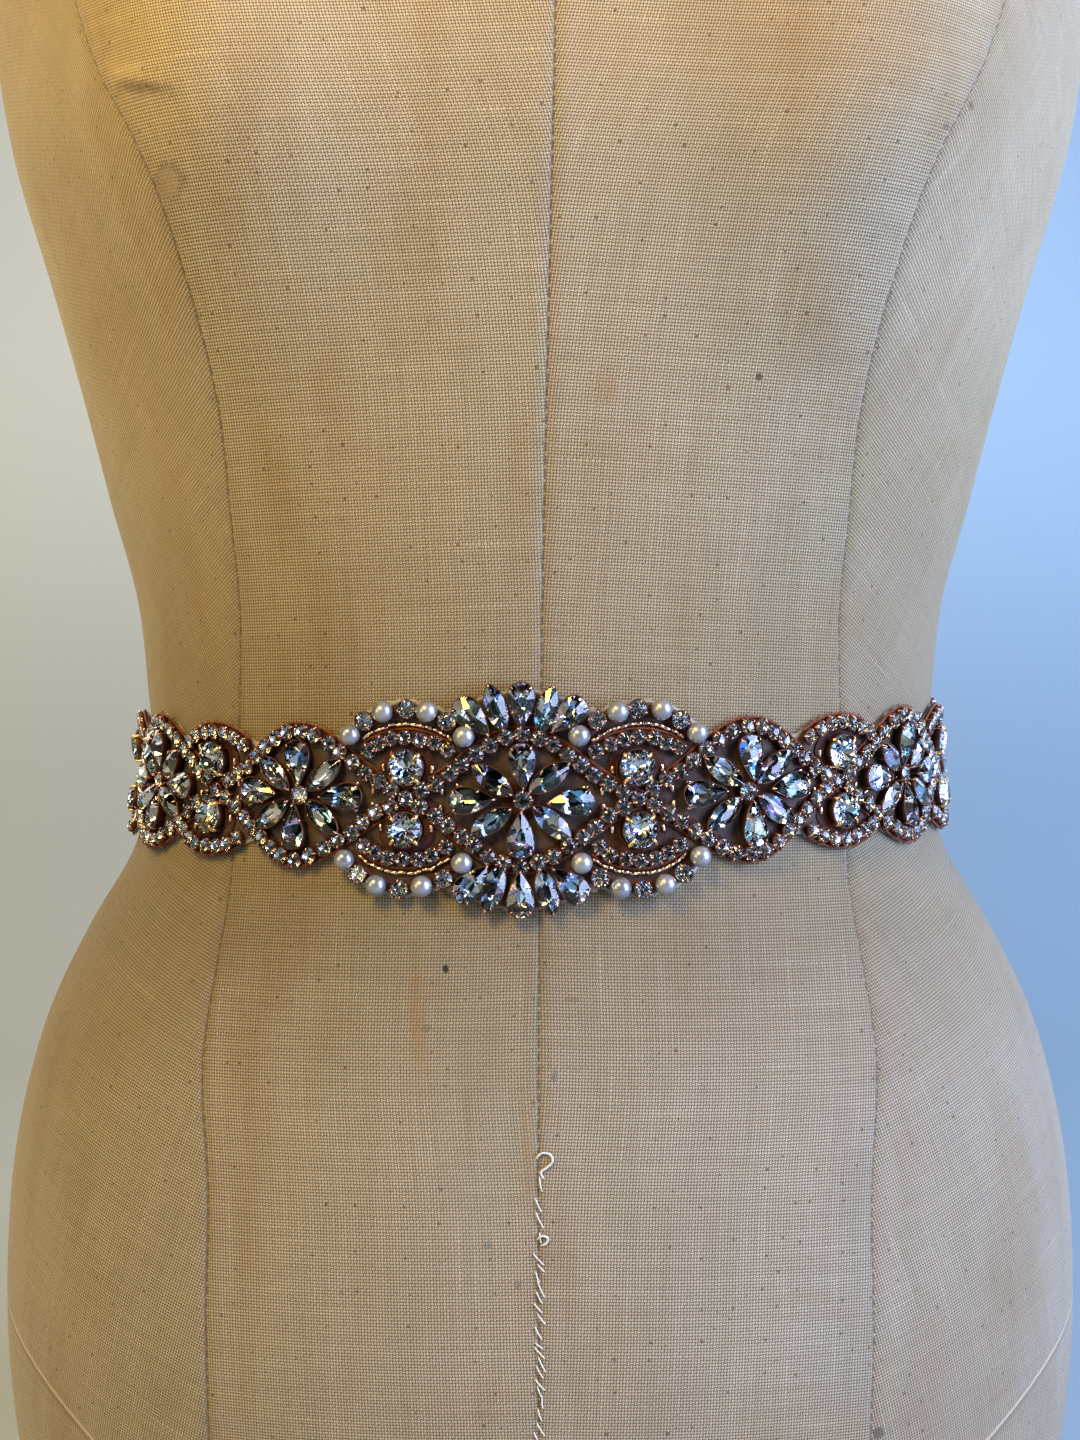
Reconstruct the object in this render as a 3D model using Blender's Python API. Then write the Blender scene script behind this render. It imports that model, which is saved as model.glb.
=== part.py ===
"""Jewelled sash belt worn on a limbless dress form.

The belt is one scalloped organza band with its cut stones and pearls raised on the outer face,
and two plain satin ribbons that run on round the back and close with hooks and eyes.
Metres, +Z up. The origin lies on the form's flat base, at the middle of its overall width and depth,
and the front looks along -Y.
"""
import math
from collections import namedtuple

import bmesh
import bpy
import numpy as np
from mathutils import Vector
from mathutils.geometry import delaunay_2d_cdt

# Dress form: one row for each level, from the base up to the neck
Level = namedtuple("Level", "height half_width front_depth back_depth")
LEVELS = (
    Level(0.000, 0.1560, 0.1040, 0.1180),
    Level(0.060, 0.1690, 0.1110, 0.1250),
    Level(0.110, 0.1705, 0.1120, 0.1210),
    Level(0.159, 0.1645, 0.1080, 0.1100),
    Level(0.190, 0.1550, 0.1030, 0.1000),
    Level(0.215, 0.1425, 0.0970, 0.0920),
    Level(0.238, 0.1290, 0.0925, 0.0860),
    Level(0.262, 0.1225, 0.0910, 0.0840),
    Level(0.290, 0.1240, 0.0910, 0.0845),
    Level(0.315, 0.1265, 0.0930, 0.0870),
    Level(0.346, 0.1345, 0.0970, 0.0910),
    Level(0.378, 0.1425, 0.1010, 0.0960),
    Level(0.409, 0.1508, 0.1040, 0.1010),
    Level(0.455, 0.1635, 0.1070, 0.1060),
    Level(0.500, 0.1690, 0.1020, 0.1090),
    Level(0.545, 0.1675, 0.0920, 0.1080),
    Level(0.585, 0.1630, 0.0780, 0.0980),
    Level(0.618, 0.1420, 0.0660, 0.0840),
    Level(0.642, 0.1000, 0.0590, 0.0700),
    Level(0.660, 0.0660, 0.0550, 0.0590),
    Level(0.682, 0.0550, 0.0510, 0.0530),
    Level(0.720, 0.0520, 0.0490, 0.0510),
)
BUST_HEIGHT = 0.452
BUST_REACH = 0.0343
BUST_ANGLE = 0.62
BUST_ANGLE_SPREAD = 0.41
BUST_HEIGHT_SPREAD = 0.062
BRIDGE_SHARE = 0.27
BRIDGE_ANGLE = 0.43
FORM_SIDES = 44
FORM_RINGS = (
    *np.linspace(0.0, 0.200, 7),
    *np.linspace(0.212, 0.308, 13),
    *np.linspace(0.330, 0.570, 11),
    *np.linspace(0.585, 0.672, 8),
    0.700,
    0.720,
)

# Belt: lengths run along the band from its middle, which sits just off the form's centre front
BELT_HEIGHT = 0.262
BAND_SHIFT = -0.005
SIDE_LIFT = 0.003
SIDE_LIFT_START = 0.015
SIDE_LIFT_END = 0.090
SEAM_GAP = 0.0006
WALL = 0.0010
BAND_HALF_LENGTH = 0.217
RIBBON_HALF_WIDTH = 0.011
JOIN_GAP = 0.0003
CLOSURE_HALF_GAP = 0.0025

# Motif: flowers and pairs of round stones alternate inside two crossing strands
FLOWERS = (0.0, 0.064, 0.124, 0.184)
LAST_PITCH = 0.060
PAIRS = (0.0318, 0.0950, 0.1550)
PAIR_SPREAD = 0.0086
UPRIGHT_PETAL = 0.0095
SIDEWAYS_PETAL = 0.0132
SLANTED_PETAL = 0.0099
SLANT = math.radians(37)
STRAND_CREST = 0.0182
STRAND_FLATTEN = 0.12
STRAND_WIDTH = 0.0038
STRAND_STEP = 0.0060
STRAND_MARGIN = 0.0032
CROSSING_CLEAR = 0.0038
ARC_RADIUS = 0.0190
ARC_CREST = 0.0172
ARC_HALF_ANGLE = 0.56
PEARL_ARC_RADIUS = 0.0205
PEARL_ARC_CREST = 0.0254
PEARL_ARC_STEP = 0.300
PEARL_MARGIN = 0.0010
FAN_CENTRE = 0.0052
FAN_OUTLINE_RADIUS = 0.0290
FAN_HALF_WIDTH = 0.0205
OUTLINE_SHARPNESS = 14
OUTLINE_STEP = 0.0036
INNER_GRID = 0.0085

# Stones: each outline is a share of the girdle's, with its height above the organza
Cut = namedtuple("Cut", "length width sides rings")
PEAR = Cut(0.0127, 0.0078, 9, ((1.00, 0.0), (0.97, 0.0030), (0.55, 0.0046)))
NAVETTE = Cut(0.0134, 0.0060, 8, ((1.00, 0.0), (0.97, 0.0028), (0.50, 0.0042)))
CHATON = Cut(0.0100, 0.0100, 8, ((1.00, 0.0), (0.97, 0.0032), (0.58, 0.0050)))
ROUND = Cut(0.0052, 0.0052, 6, ((1.00, 0.0), (0.62, 0.0034)))
CROSSING = Cut(0.0042, 0.0042, 6, ((1.00, 0.0), (0.55, 0.0028)))
PEARL = Cut(0.0060, 0.0060, 6, ((1.00, 0.0), (0.98, 0.0028), (0.55, 0.0050)))
STRAND_RINGS = ((1.00, 0.0), (0.55, 0.0026))

# The fan above and below the middle flower: each stone's place, and its slope in degrees
FAN = ((PEAR, 0.0, 0.0264, 90), (NAVETTE, 0.0070, 0.0252, 72), (PEAR, 0.0127, 0.0234, 46))

# Hooks and eyes of round wire, measured from centre back
WIRE_RADIUS = 0.00040
CLOSURE_HEIGHTS = (-0.0052, 0.0052)
SEWING_RING_RADIUS = 0.0015
SEWING_RING_POINTS = 7
HOOK_RING_AT = -0.0077
HOOK_BEND = (
    (-0.0060, 0.0),
    (-0.0042, 0.0),
    (-0.0026, 0.0007),
    (-0.0010, 0.0011),
    (0.0002, 0.0008),
    (0.0007, 0.0),
    (0.0002, -0.0008),
    (-0.0008, -0.0011),
    (-0.0020, -0.0011),
)
EYE_RING_AT = (0.0060, 0.0023)
EYE_RING_OPENING = math.radians(155)
EYE_BEND = ((0.0030, 0.0016), (0.0006, 0.0015), (-0.0007, 0.0009), (-0.0010, 0.0))

Stone = namedtuple("Stone", "cut u v angle")


def spline(table_x, table_y, x):
    """Smooth curve through a table: cubic pieces with the slope at each row taken from its neighbours."""
    table_x = np.asarray(table_x, float)
    table_y = np.asarray(table_y, float)
    slope = np.gradient(table_y, table_x)
    i = np.clip(np.searchsorted(table_x, x, side="right") - 1, 0, len(table_x) - 2)
    step = table_x[i + 1] - table_x[i]
    s = (x - table_x[i]) / step
    return (
        (2 * s**3 - 3 * s**2 + 1) * table_y[i]
        + (s**3 - 2 * s**2 + s) * step * slope[i]
        + (3 * s**2 - 2 * s**3) * table_y[i + 1]
        + (s**3 - s**2) * step * slope[i + 1]
    )


def form_surface(angle, height):
    """Points on the form: half ellipses in front and behind, with two bust mounds and a bridge between them. Angle 0 is centre front."""
    angle, height = np.broadcast_arrays(np.asarray(angle, float), np.asarray(height, float))
    columns = np.array(LEVELS).T
    half_width = spline(columns[0], columns[1], height)
    front = spline(columns[0], columns[2], height)
    back = spline(columns[0], columns[3], height)
    depth = np.where(np.cos(angle) > 0, front, back)
    mound = BUST_REACH * np.exp(-(((height - BUST_HEIGHT) / BUST_HEIGHT_SPREAD) ** 2))
    either_side = sum(
        np.exp(-(((angle - side * BUST_ANGLE) / BUST_ANGLE_SPREAD) ** 2)) for side in (-1, 1)
    )
    x = half_width * np.sin(angle)
    bridge = BRIDGE_SHARE * np.cos(math.pi / 2 * np.clip(np.abs(angle) / BRIDGE_ANGLE, 0, 1)) ** 2
    y = -depth * np.cos(angle) - mound * (either_side + bridge)
    return np.stack([x, y, height], axis=-1)


def form_normal(angle, height):
    small = 1e-4
    around = form_surface(angle + small, height) - form_surface(angle - small, height)
    up = form_surface(angle, height + small) - form_surface(angle, height - small)
    normal = np.cross(around, up)
    return normal / np.linalg.norm(normal, axis=-1, keepdims=True)


# Length round the waist against angle, measured in the middle of the band's wall
WAIST_ANGLES = np.linspace(-math.pi, math.pi, 1441)
WAIST_LINE = form_surface(WAIST_ANGLES, BELT_HEIGHT) + form_normal(WAIST_ANGLES, BELT_HEIGHT) * (
    SEAM_GAP + WALL / 2
)
WAIST_STEPS = np.linalg.norm(np.diff(WAIST_LINE, axis=0), axis=1)
WAIST_LENGTHS = np.concatenate([[0.0], np.cumsum(WAIST_STEPS)])
HALF_WAIST = WAIST_LENGTHS[-1] / 2
WAIST_LENGTHS -= HALF_WAIST


def side_lift(length):
    """The belt sits a little higher on the +X side."""
    s = np.clip((length - SIDE_LIFT_START) / (SIDE_LIFT_END - SIDE_LIFT_START), 0, 1)
    settled = np.clip((HALF_WAIST - length) / (HALF_WAIST - BAND_HALF_LENGTH), 0, 1)
    return SIDE_LIFT * s * s * (3 - 2 * s) * settled


def belt_points(length, across, height):
    """Points of the belt: length along it from centre front, across it upwards, height above its inner face."""
    length = np.asarray(length, float)
    angle = np.interp(length, WAIST_LENGTHS, WAIST_ANGLES)
    level = BELT_HEIGHT + np.asarray(across, float) + side_lift(length)
    raised = np.broadcast_to(SEAM_GAP + np.asarray(height, float), angle.shape)
    return form_surface(angle, level) + form_normal(angle, level) * raised[..., None]


def strand(u):
    """One of the two strands: a flattened cosine with a crest or a trough at each flower."""
    u = abs(u)
    knots = (*FLOWERS, FLOWERS[-1] + LAST_PITCH)
    phase = math.pi * np.interp(u, knots, range(len(knots)))
    return STRAND_CREST * (np.cos(phase) + STRAND_FLATTEN * np.cos(3 * phase)) / (1 + STRAND_FLATTEN)


def circle_height(u, centre, crest, radius):
    """Height of a circle's upper half at u, and nothing beyond its sides."""
    inside = np.clip(radius**2 - (u - centre) ** 2, 0, None)
    return np.where(inside > 0, crest - radius + np.sqrt(inside), 0.0)


def outline(u):
    """Half height of the scalloped organza: a smooth maximum of everything that it carries, with its margin."""
    u = abs(u)
    slope = (strand(u + 5e-4) - strand(u - 5e-4)) / 1e-3
    margin = STRAND_MARGIN
    pearl_reach = PEARL.width / 2 + PEARL_MARGIN
    edges = [abs(strand(u)) + margin * np.sqrt(1 + slope**2), np.full_like(u, RIBBON_HALF_WIDTH)]
    edges += [circle_height(u, pair, ARC_CREST + margin, ARC_RADIUS + margin) for pair in PAIRS]
    edges.append(
        circle_height(u, PAIRS[0], PEARL_ARC_CREST + pearl_reach, PEARL_ARC_RADIUS + pearl_reach)
    )
    fan_crest = FAN_CENTRE + FAN_OUTLINE_RADIUS
    fan = circle_height(u, 0.0, fan_crest, FAN_OUTLINE_RADIUS)
    edges.append(np.where(u < FAN_HALF_WIDTH, fan, 0.0))
    powered = sum((edge / fan_crest) ** OUTLINE_SHARPNESS for edge in edges)
    return fan_crest * powered ** (1 / OUTLINE_SHARPNESS)


def quarter_turns(u, v, angle):
    """The same place in the quarters that mirror it, without repeats on the axes."""
    places = {}
    for side_u in (1, -1):
        for side_v in (1, -1):
            turned = math.atan2(side_v * math.sin(angle), side_u * math.cos(angle))
            key = (round(side_u * u, 7), round(side_v * v, 7))
            places.setdefault(key, (side_u * u, side_v * v, turned))
    return places.values()


def flower_stones(centre):
    """Eight petals round a small round stone: pears on the axes and navettes on the diagonals."""
    found = [Stone(ROUND, centre, 0.0, 0.0)]
    for sign in (1, -1):
        found.append(Stone(PEAR, centre, sign * UPRIGHT_PETAL, sign * math.pi / 2))
        found.append(Stone(PEAR, centre + sign * SIDEWAYS_PETAL, 0.0, 0.0 if sign > 0 else math.pi))
        for mirror in (1, -1):
            direction = math.atan2(mirror * math.sin(SLANT), sign * math.cos(SLANT))
            found.append(
                Stone(
                    NAVETTE,
                    centre + SLANTED_PETAL * math.cos(direction),
                    SLANTED_PETAL * math.sin(direction),
                    direction,
                )
            )
    return found


def crossings():
    """Where the two strands cross, half way between one flower and the next."""
    knots = (*FLOWERS, FLOWERS[-1] + LAST_PITCH)
    return [(near + far) / 2 for near, far in zip(knots, knots[1:])]


def large_stones():
    """Every stone and pearl over 5 mm and the stone at each crossing, with the way its round end points."""
    found = [Stone(CROSSING, side * u, 0.0, 0.0) for u in crossings() for side in (1, -1)]
    for flower in FLOWERS:
        for side in {flower, -flower}:
            found += flower_stones(side)
    for pair in PAIRS:
        found += [Stone(CHATON, *place) for place in quarter_turns(pair, PAIR_SPREAD, 0.0)]
    for cut, u, v, degrees in FAN:
        found += [Stone(cut, *place) for place in quarter_turns(u, v, math.radians(degrees))]
    for k in range(-3, 4):
        turn = k * PEARL_ARC_STEP
        u = PAIRS[0] + PEARL_ARC_RADIUS * math.sin(turn)
        v = PEARL_ARC_CREST - PEARL_ARC_RADIUS * (1 - math.cos(turn))
        cut = PEARL if k % 2 else ROUND
        found += [Stone(cut, *place) for place in quarter_turns(u, v, 0.0)]
    return found


def cut_outline(cut, share):
    """The girdle of a stone scaled to a share of its size: pointed at -X for a pear, at both ends for a navette."""
    turn = 2 * math.pi * np.arange(cut.sides) / cut.sides
    x = np.cos(turn) * cut.length / 2
    if cut is PEAR:
        y = np.sin(turn) * cut.width / 2 * ((1 + np.cos(turn)) / 2) ** 0.45 * 1.22
        x = x + 0.0004 * np.sin(turn) ** 2
    elif cut is NAVETTE:
        y = np.sign(np.sin(turn)) * np.abs(np.sin(turn)) ** 1.5 * cut.width / 2
    else:
        y = np.sin(turn) * cut.width / 2
    return np.stack([x, y], axis=1) * share


def stone_loops(stone):
    """The outlines of one stone on the band, each with its height."""
    turn = np.array(
        [
            [math.cos(stone.angle), math.sin(stone.angle)],
            [-math.sin(stone.angle), math.cos(stone.angle)],
        ]
    )
    place = np.array([stone.u, stone.v])
    return [(cut_outline(stone.cut, share) @ turn + place, height) for share, height in stone.cut.rings]


def ridge_loops(path_u, path_v):
    """A low ridge under a row of small stones: closed outlines along both sides of a path."""
    path = np.stack([path_u, path_v], axis=1)
    along = np.gradient(path, axis=0)
    along /= np.linalg.norm(along, axis=1, keepdims=True)
    across = np.stack([-along[:, 1], along[:, 0]], axis=1)
    loops = []
    for share, height in STRAND_RINGS:
        half = STRAND_WIDTH / 2 * share
        pull_in = (STRAND_WIDTH / 2 - half) * along[[0, -1]]
        centre = path.copy()
        centre[0] += pull_in[0]
        centre[-1] -= pull_in[1]
        loops.append((np.concatenate([centre - across * half, (centre + across * half)[::-1]]), height))
    return loops


def ridges():
    """The rows of small stones: two strands between their crossings, and an arc over each round stone."""
    found = []
    crossed = crossings()
    spans = [(CROSSING_CLEAR - crossed[0], crossed[0] - CROSSING_CLEAR)]
    for near, far in zip(crossed, crossed[1:]):
        spans += [(near + CROSSING_CLEAR, far - CROSSING_CLEAR)]
        spans += [(CROSSING_CLEAR - far, -near - CROSSING_CLEAR)]
    for start, end in spans:
        steps = max(2, round((end - start) / STRAND_STEP))
        u = np.linspace(start, end, steps + 1)
        for side in (1, -1):
            found.append(ridge_loops(u, side * np.abs(strand(u))))
    for pair in PAIRS:
        for side_u in (1, -1):
            for side_v in (1, -1):
                turn = np.linspace(-ARC_HALF_ANGLE, ARC_HALF_ANGLE, 5)
                u = side_u * pair + ARC_RADIUS * np.sin(turn)
                v = side_v * (ARC_CREST - ARC_RADIUS * (1 - np.cos(turn)))
                found.append(ridge_loops(u, v))
    return found


def in_loop(loop, points):
    """Whether each point lies inside a loop, by counting the edges to one side of it."""
    inside = np.zeros(len(points), bool)
    for (ax, ay), (bx, by) in zip(loop, np.roll(loop, -1, axis=0)):
        if ay == by:
            continue
        crossing = ax + (points[:, 1] - ay) * (bx - ax) / (by - ay)
        inside ^= ((ay > points[:, 1]) != (by > points[:, 1])) & (points[:, 0] < crossing)
    return inside


def band_outline():
    """The scalloped edge of the organza band, as one closed loop of points."""
    steps = round(2 * BAND_HALF_LENGTH / OUTLINE_STEP)
    u = np.linspace(-BAND_HALF_LENGTH, BAND_HALF_LENGTH, steps + 1)
    half = outline(u)
    return np.concatenate([np.stack([u, -half], axis=1), np.stack([u, half], axis=1)[::-1]])


def plane_mesh(boundary, loops, free_points):
    """Triangles of the flat band between its boundary and the loops, with the boundary's points first."""
    points = list(boundary)
    edges = [(i, (i + 1) % len(boundary)) for i in range(len(boundary))]
    for loop in loops:
        first = len(points)
        points += list(loop)
        edges += [(first + i, first + (i + 1) % len(loop)) for i in range(len(loop))]
    points += list(free_points)
    flat = [Vector((float(x), float(y))) for x, y in points]
    found, _, faces, _, _, _ = delaunay_2d_cdt(flat, edges, [], 0, 1e-6)
    found = np.array([tuple(p) for p in found])
    faces = np.array([f for f in faces if len(f) == 3])
    kept = faces[in_loop(boundary, found[faces].mean(axis=1))]
    corners = found[kept]
    first_edge = corners[:, 1] - corners[:, 0]
    second_edge = corners[:, 2] - corners[:, 0]
    area = first_edge[:, 0] * second_edge[:, 1] - first_edge[:, 1] * second_edge[:, 0]
    kept = np.where(area[:, None] < 0, kept[:, ::-1], kept)[np.abs(area) > 1e-12]
    return found, kept


def relief_heights(points, features):
    """Height above the organza at each point: the tallest feature that covers it, by its own outlines."""
    heights = np.zeros(len(points))
    for loops in features:
        outer, _ = loops[0]
        low, high = outer.min(axis=0) - 1e-5, outer.max(axis=0) + 1e-5
        near = np.flatnonzero(((points >= low) & (points <= high)).all(axis=1))
        if not len(near):
            continue
        local = points[near]
        level = np.zeros(len(near))
        for (loop, height), (_, below) in zip(loops[1:], loops):
            inner = in_loop(loop, local)
            on_edge = np.zeros(len(near), bool)
            for corner in loop:
                on_edge |= np.linalg.norm(local - corner, axis=1) < 2e-6
            level = np.where(inner | on_edge, height, level)
        heights[near] = np.maximum(heights[near], level)
    return heights


def new_object(name, vertices, faces, material):
    mesh = bpy.data.meshes.new(name)
    mesh.from_pydata([tuple(map(float, v)) for v in vertices], [], [tuple(map(int, f)) for f in faces])
    mesh.materials.append(material)
    made = bpy.data.objects.new(name, mesh)
    bpy.context.scene.collection.objects.link(made)
    work = bmesh.new()
    work.from_mesh(mesh)
    bmesh.ops.recalc_face_normals(work, faces=work.faces)
    work.to_mesh(mesh)
    work.free()
    return made


def make_material(name, colour, roughness, metallic=0.0):
    made = bpy.data.materials.new(name)
    made.use_nodes = True
    shader = made.node_tree.nodes["Principled BSDF"]
    shader.inputs["Base Color"].default_value = (*colour, 1.0)
    shader.inputs["Roughness"].default_value = roughness
    shader.inputs["Metallic"].default_value = metallic
    made.diffuse_color = (*colour, 1.0)
    return made


def make_form(linen):
    """The dress form: a closed loft of level rings with a flat base and a flat neck cap."""
    angles = 2 * math.pi * np.arange(FORM_SIDES) / FORM_SIDES
    wrapped = (angles + math.pi) % (2 * math.pi) - math.pi
    rings = [form_surface(wrapped, np.full(FORM_SIDES, z)) for z in FORM_RINGS]
    vertices = np.concatenate(rings)
    faces = []
    for ring in range(len(rings) - 1):
        for side in range(FORM_SIDES):
            after = (side + 1) % FORM_SIDES
            low, high = ring * FORM_SIDES, (ring + 1) * FORM_SIDES
            faces.append((low + side, low + after, high + after, high + side))
    top = (len(rings) - 1) * FORM_SIDES
    faces.append(tuple(range(FORM_SIDES))[::-1])
    faces.append(tuple(top + side for side in range(FORM_SIDES)))
    made = new_object("dress_form", vertices, faces, linen)
    made.data.shade_smooth()
    made.data.set_sharp_from_angle(angle=math.radians(50))
    return made


def make_band(organza):
    """The jewelled band: a thin wall with a plain inner face and the stones raised on the outer one."""
    boundary = band_outline()
    features = [stone_loops(stone) for stone in large_stones()] + ridges()
    loops = [loop for feature in features for loop, _ in feature]
    outer_plane, outer_faces = plane_mesh(boundary, loops, [])
    grid_u = np.arange(-BAND_HALF_LENGTH + INNER_GRID, BAND_HALF_LENGTH - INNER_GRID / 2, INNER_GRID)
    grid = [
        (u, v)
        for u in grid_u
        for v in np.arange(-3, 4) * INNER_GRID
        if abs(v) < float(outline(np.array([u]))[0]) - INNER_GRID / 3
    ]
    inner_plane, inner_faces = plane_mesh(boundary, [], grid)
    raised = WALL + relief_heights(outer_plane, features)
    outer = belt_points(outer_plane[:, 0] + BAND_SHIFT, outer_plane[:, 1], raised)
    inner = belt_points(inner_plane[:, 0] + BAND_SHIFT, inner_plane[:, 1], 0.0)
    count = len(boundary)
    shift = len(outer)
    rim = [(i, (i + 1) % count, shift + (i + 1) % count, shift + i) for i in range(count)]
    faces = [*outer_faces, *(inner_faces[:, ::-1] + shift), *rim]
    return new_object("jewelled_band", np.concatenate([outer, inner]), faces, organza)


def make_ribbon(name, start, end, satin):
    """A plain ribbon round the back: a thin wall that follows the form between two lengths."""
    columns = 2 + round(abs(end - start) / 0.0065)
    lengths = np.linspace(start, end, columns)
    rows = np.linspace(-RIBBON_HALF_WIDTH, RIBBON_HALF_WIDTH, 4)
    u, v = np.meshgrid(lengths, rows, indexing="ij")
    inner = belt_points(u.ravel(), v.ravel(), 0.0)
    outer = belt_points(u.ravel(), v.ravel(), WALL)
    count = len(inner)
    at = np.arange(count).reshape(columns, len(rows))
    loop = [*at[:, 0], *at[-1, 1:], *at[-2::-1, -1], *at[0, -2:0:-1]]
    faces = []
    for i in range(columns - 1):
        for j in range(len(rows) - 1):
            corner = (at[i, j], at[i + 1, j], at[i + 1, j + 1], at[i, j + 1])
            faces.append([count + k for k in corner])
            faces.append(list(corner)[::-1])
    for a, b in zip(loop, loop[1:] + loop[:1]):
        faces.append([a, b, count + b, count + a])
    return new_object(name, np.concatenate([inner, outer]), faces, satin)


def back_point(along, across, height):
    """A point near the closure: along runs from centre back towards +X, height is above the inner face."""
    length = HALF_WAIST - along if along > 0 else -HALF_WAIST - along
    return belt_points(length, across, height)


def make_wire(name, path, metal):
    """Round wire along a path of (along, across, height) points at centre back."""
    curve = bpy.data.curves.new(name, "CURVE")
    curve.dimensions = "3D"
    curve.bevel_depth = WIRE_RADIUS
    curve.bevel_resolution = 1
    curve.use_fill_caps = True
    line = curve.splines.new("POLY")
    line.points.add(len(path) - 1)
    for point, place in zip(line.points, path):
        point.co = (*map(float, back_point(*place)), 1.0)
    curve.materials.append(metal)
    made = bpy.data.objects.new(name, curve)
    bpy.context.scene.collection.objects.link(made)
    return made


def sewing_ring(along, across, height, open_towards, turn_sign):
    """An open ring of wire that is sewn to the ribbon, ending where the leg leaves it."""
    turns = open_towards + turn_sign * np.linspace(math.radians(300), 0, SEWING_RING_POINTS)
    return [
        (along + SEWING_RING_RADIUS * math.cos(t), across + SEWING_RING_RADIUS * math.sin(t), height)
        for t in turns
    ]


def make_closure(metal):
    """Two hooks on the -X ribbon, each caught in an eye on the +X ribbon."""
    lying = WALL + JOIN_GAP + WIRE_RADIUS
    for label, across in zip(("lower", "upper"), CLOSURE_HEIGHTS):
        ring = sewing_ring(HOOK_RING_AT, across, lying, 0.0, 1)
        make_wire("hook_" + label, ring + [(at, across, lying + rise) for at, rise in HOOK_BEND], metal)
        leg = [(at, across + reach, lying) for at, reach in EYE_BEND]
        back_leg = [(at, across - reach, lying) for at, reach in EYE_BEND[-2::-1]]
        ring_at, ring_reach = EYE_RING_AT
        upper_ring = sewing_ring(ring_at, across + ring_reach, lying, -EYE_RING_OPENING, -1)
        lower_ring = sewing_ring(ring_at, across - ring_reach, lying, EYE_RING_OPENING, 1)
        make_wire("eye_" + label, upper_ring + leg + back_leg + lower_ring[::-1], metal)


def main():
    for obj in list(bpy.data.objects):
        bpy.data.objects.remove(obj)
    linen = make_material("linen_cover", (0.52, 0.43, 0.30), 0.85)
    organza = make_material("jewelled_organza", (0.42, 0.30, 0.26), 0.35)
    satin = make_material("ribbon_satin", (0.78, 0.70, 0.62), 0.35)
    metal = make_material("rose_gold_wire", (0.80, 0.48, 0.36), 0.25, 1.0)
    make_form(linen)
    make_band(organza)
    band_end = BAND_HALF_LENGTH + JOIN_GAP
    back_end = HALF_WAIST - CLOSURE_HALF_GAP
    make_ribbon("ribbon_right", BAND_SHIFT + band_end, back_end, satin)
    make_ribbon("ribbon_left", -back_end, BAND_SHIFT - band_end, satin)
    make_closure(metal)


main()
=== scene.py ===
# Jewelled sash belt on a dress form: the finish of every surface
import math

import bpy
import numpy as np
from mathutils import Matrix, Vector


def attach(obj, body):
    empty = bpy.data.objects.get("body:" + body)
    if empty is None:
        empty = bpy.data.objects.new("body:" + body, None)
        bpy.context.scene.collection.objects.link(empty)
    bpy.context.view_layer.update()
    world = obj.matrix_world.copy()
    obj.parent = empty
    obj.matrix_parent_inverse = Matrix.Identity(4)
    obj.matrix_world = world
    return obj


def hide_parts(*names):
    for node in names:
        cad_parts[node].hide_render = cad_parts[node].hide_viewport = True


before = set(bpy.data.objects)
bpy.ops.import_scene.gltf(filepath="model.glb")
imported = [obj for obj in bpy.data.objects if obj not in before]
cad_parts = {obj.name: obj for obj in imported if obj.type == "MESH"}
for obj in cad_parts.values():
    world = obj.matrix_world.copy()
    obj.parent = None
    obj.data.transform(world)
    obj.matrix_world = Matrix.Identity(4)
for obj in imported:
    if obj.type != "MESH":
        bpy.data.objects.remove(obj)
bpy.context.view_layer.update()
luck = np.random.RandomState(11)
print("frame loaded")


# Arrays
def joined(*columns):
    # columns of numbers, spread to one shape and laid side by side as rows
    return np.stack(np.broadcast_arrays(*columns), axis=-1).reshape(-1, len(columns))


def turns(count, shift=0.0):
    return 2 * np.pi * (np.arange(count) + shift) / count


def bell(x, width, power=2):
    return np.exp(-((x / width) ** power))


def ease(x):
    # a smooth step: 3s² - 2s³, flat below 0 and above 1
    s = np.clip(x, 0, 1)
    return s * s * (3 - 2 * s)


def unit(vectors):
    return vectors / np.linalg.norm(vectors, axis=-1, keepdims=True)


def heading(path):
    return unit(np.gradient(path, axis=0))


def lengthsOf(path):
    # how far along the path each of its points is
    return np.concatenate([[0.0], np.cumsum(np.linalg.norm(np.diff(path, axis=0), axis=1))])


def evenPoints(path, step):
    # a flat path read again at even steps of length
    lengths = lengthsOf(path)
    at = np.linspace(0, lengths[-1], max(3, round(lengths[-1] / step) + 1))
    return joined(*(np.interp(at, lengths, path[:, i]) for i in (0, 1))), at


def aside(path, along, side):
    # places at a distance to the left of a flat path
    return path[:, :1] - along[:, 1:] * side, path[:, 1:] + along[:, :1] * side


def smoothTable(tableX, tableY, x):
    # cubic pieces through a table, with each row's slope taken from its neighbours
    tableX, tableY = np.asarray(tableX, float), np.asarray(tableY, float)
    slope = np.gradient(tableY, tableX)
    i = np.clip(np.searchsorted(tableX, x, side="right") - 1, 0, len(tableX) - 2)
    step = tableX[i + 1] - tableX[i]
    s = (x - tableX[i]) / step
    return ((2 * s**3 - 3 * s**2 + 1) * tableY[i] + (s**3 - 2 * s**2 + s) * step * slope[i]
            + (3 * s**2 - 2 * s**3) * tableY[i + 1] + (s**3 - s**2) * step * slope[i + 1])


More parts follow.
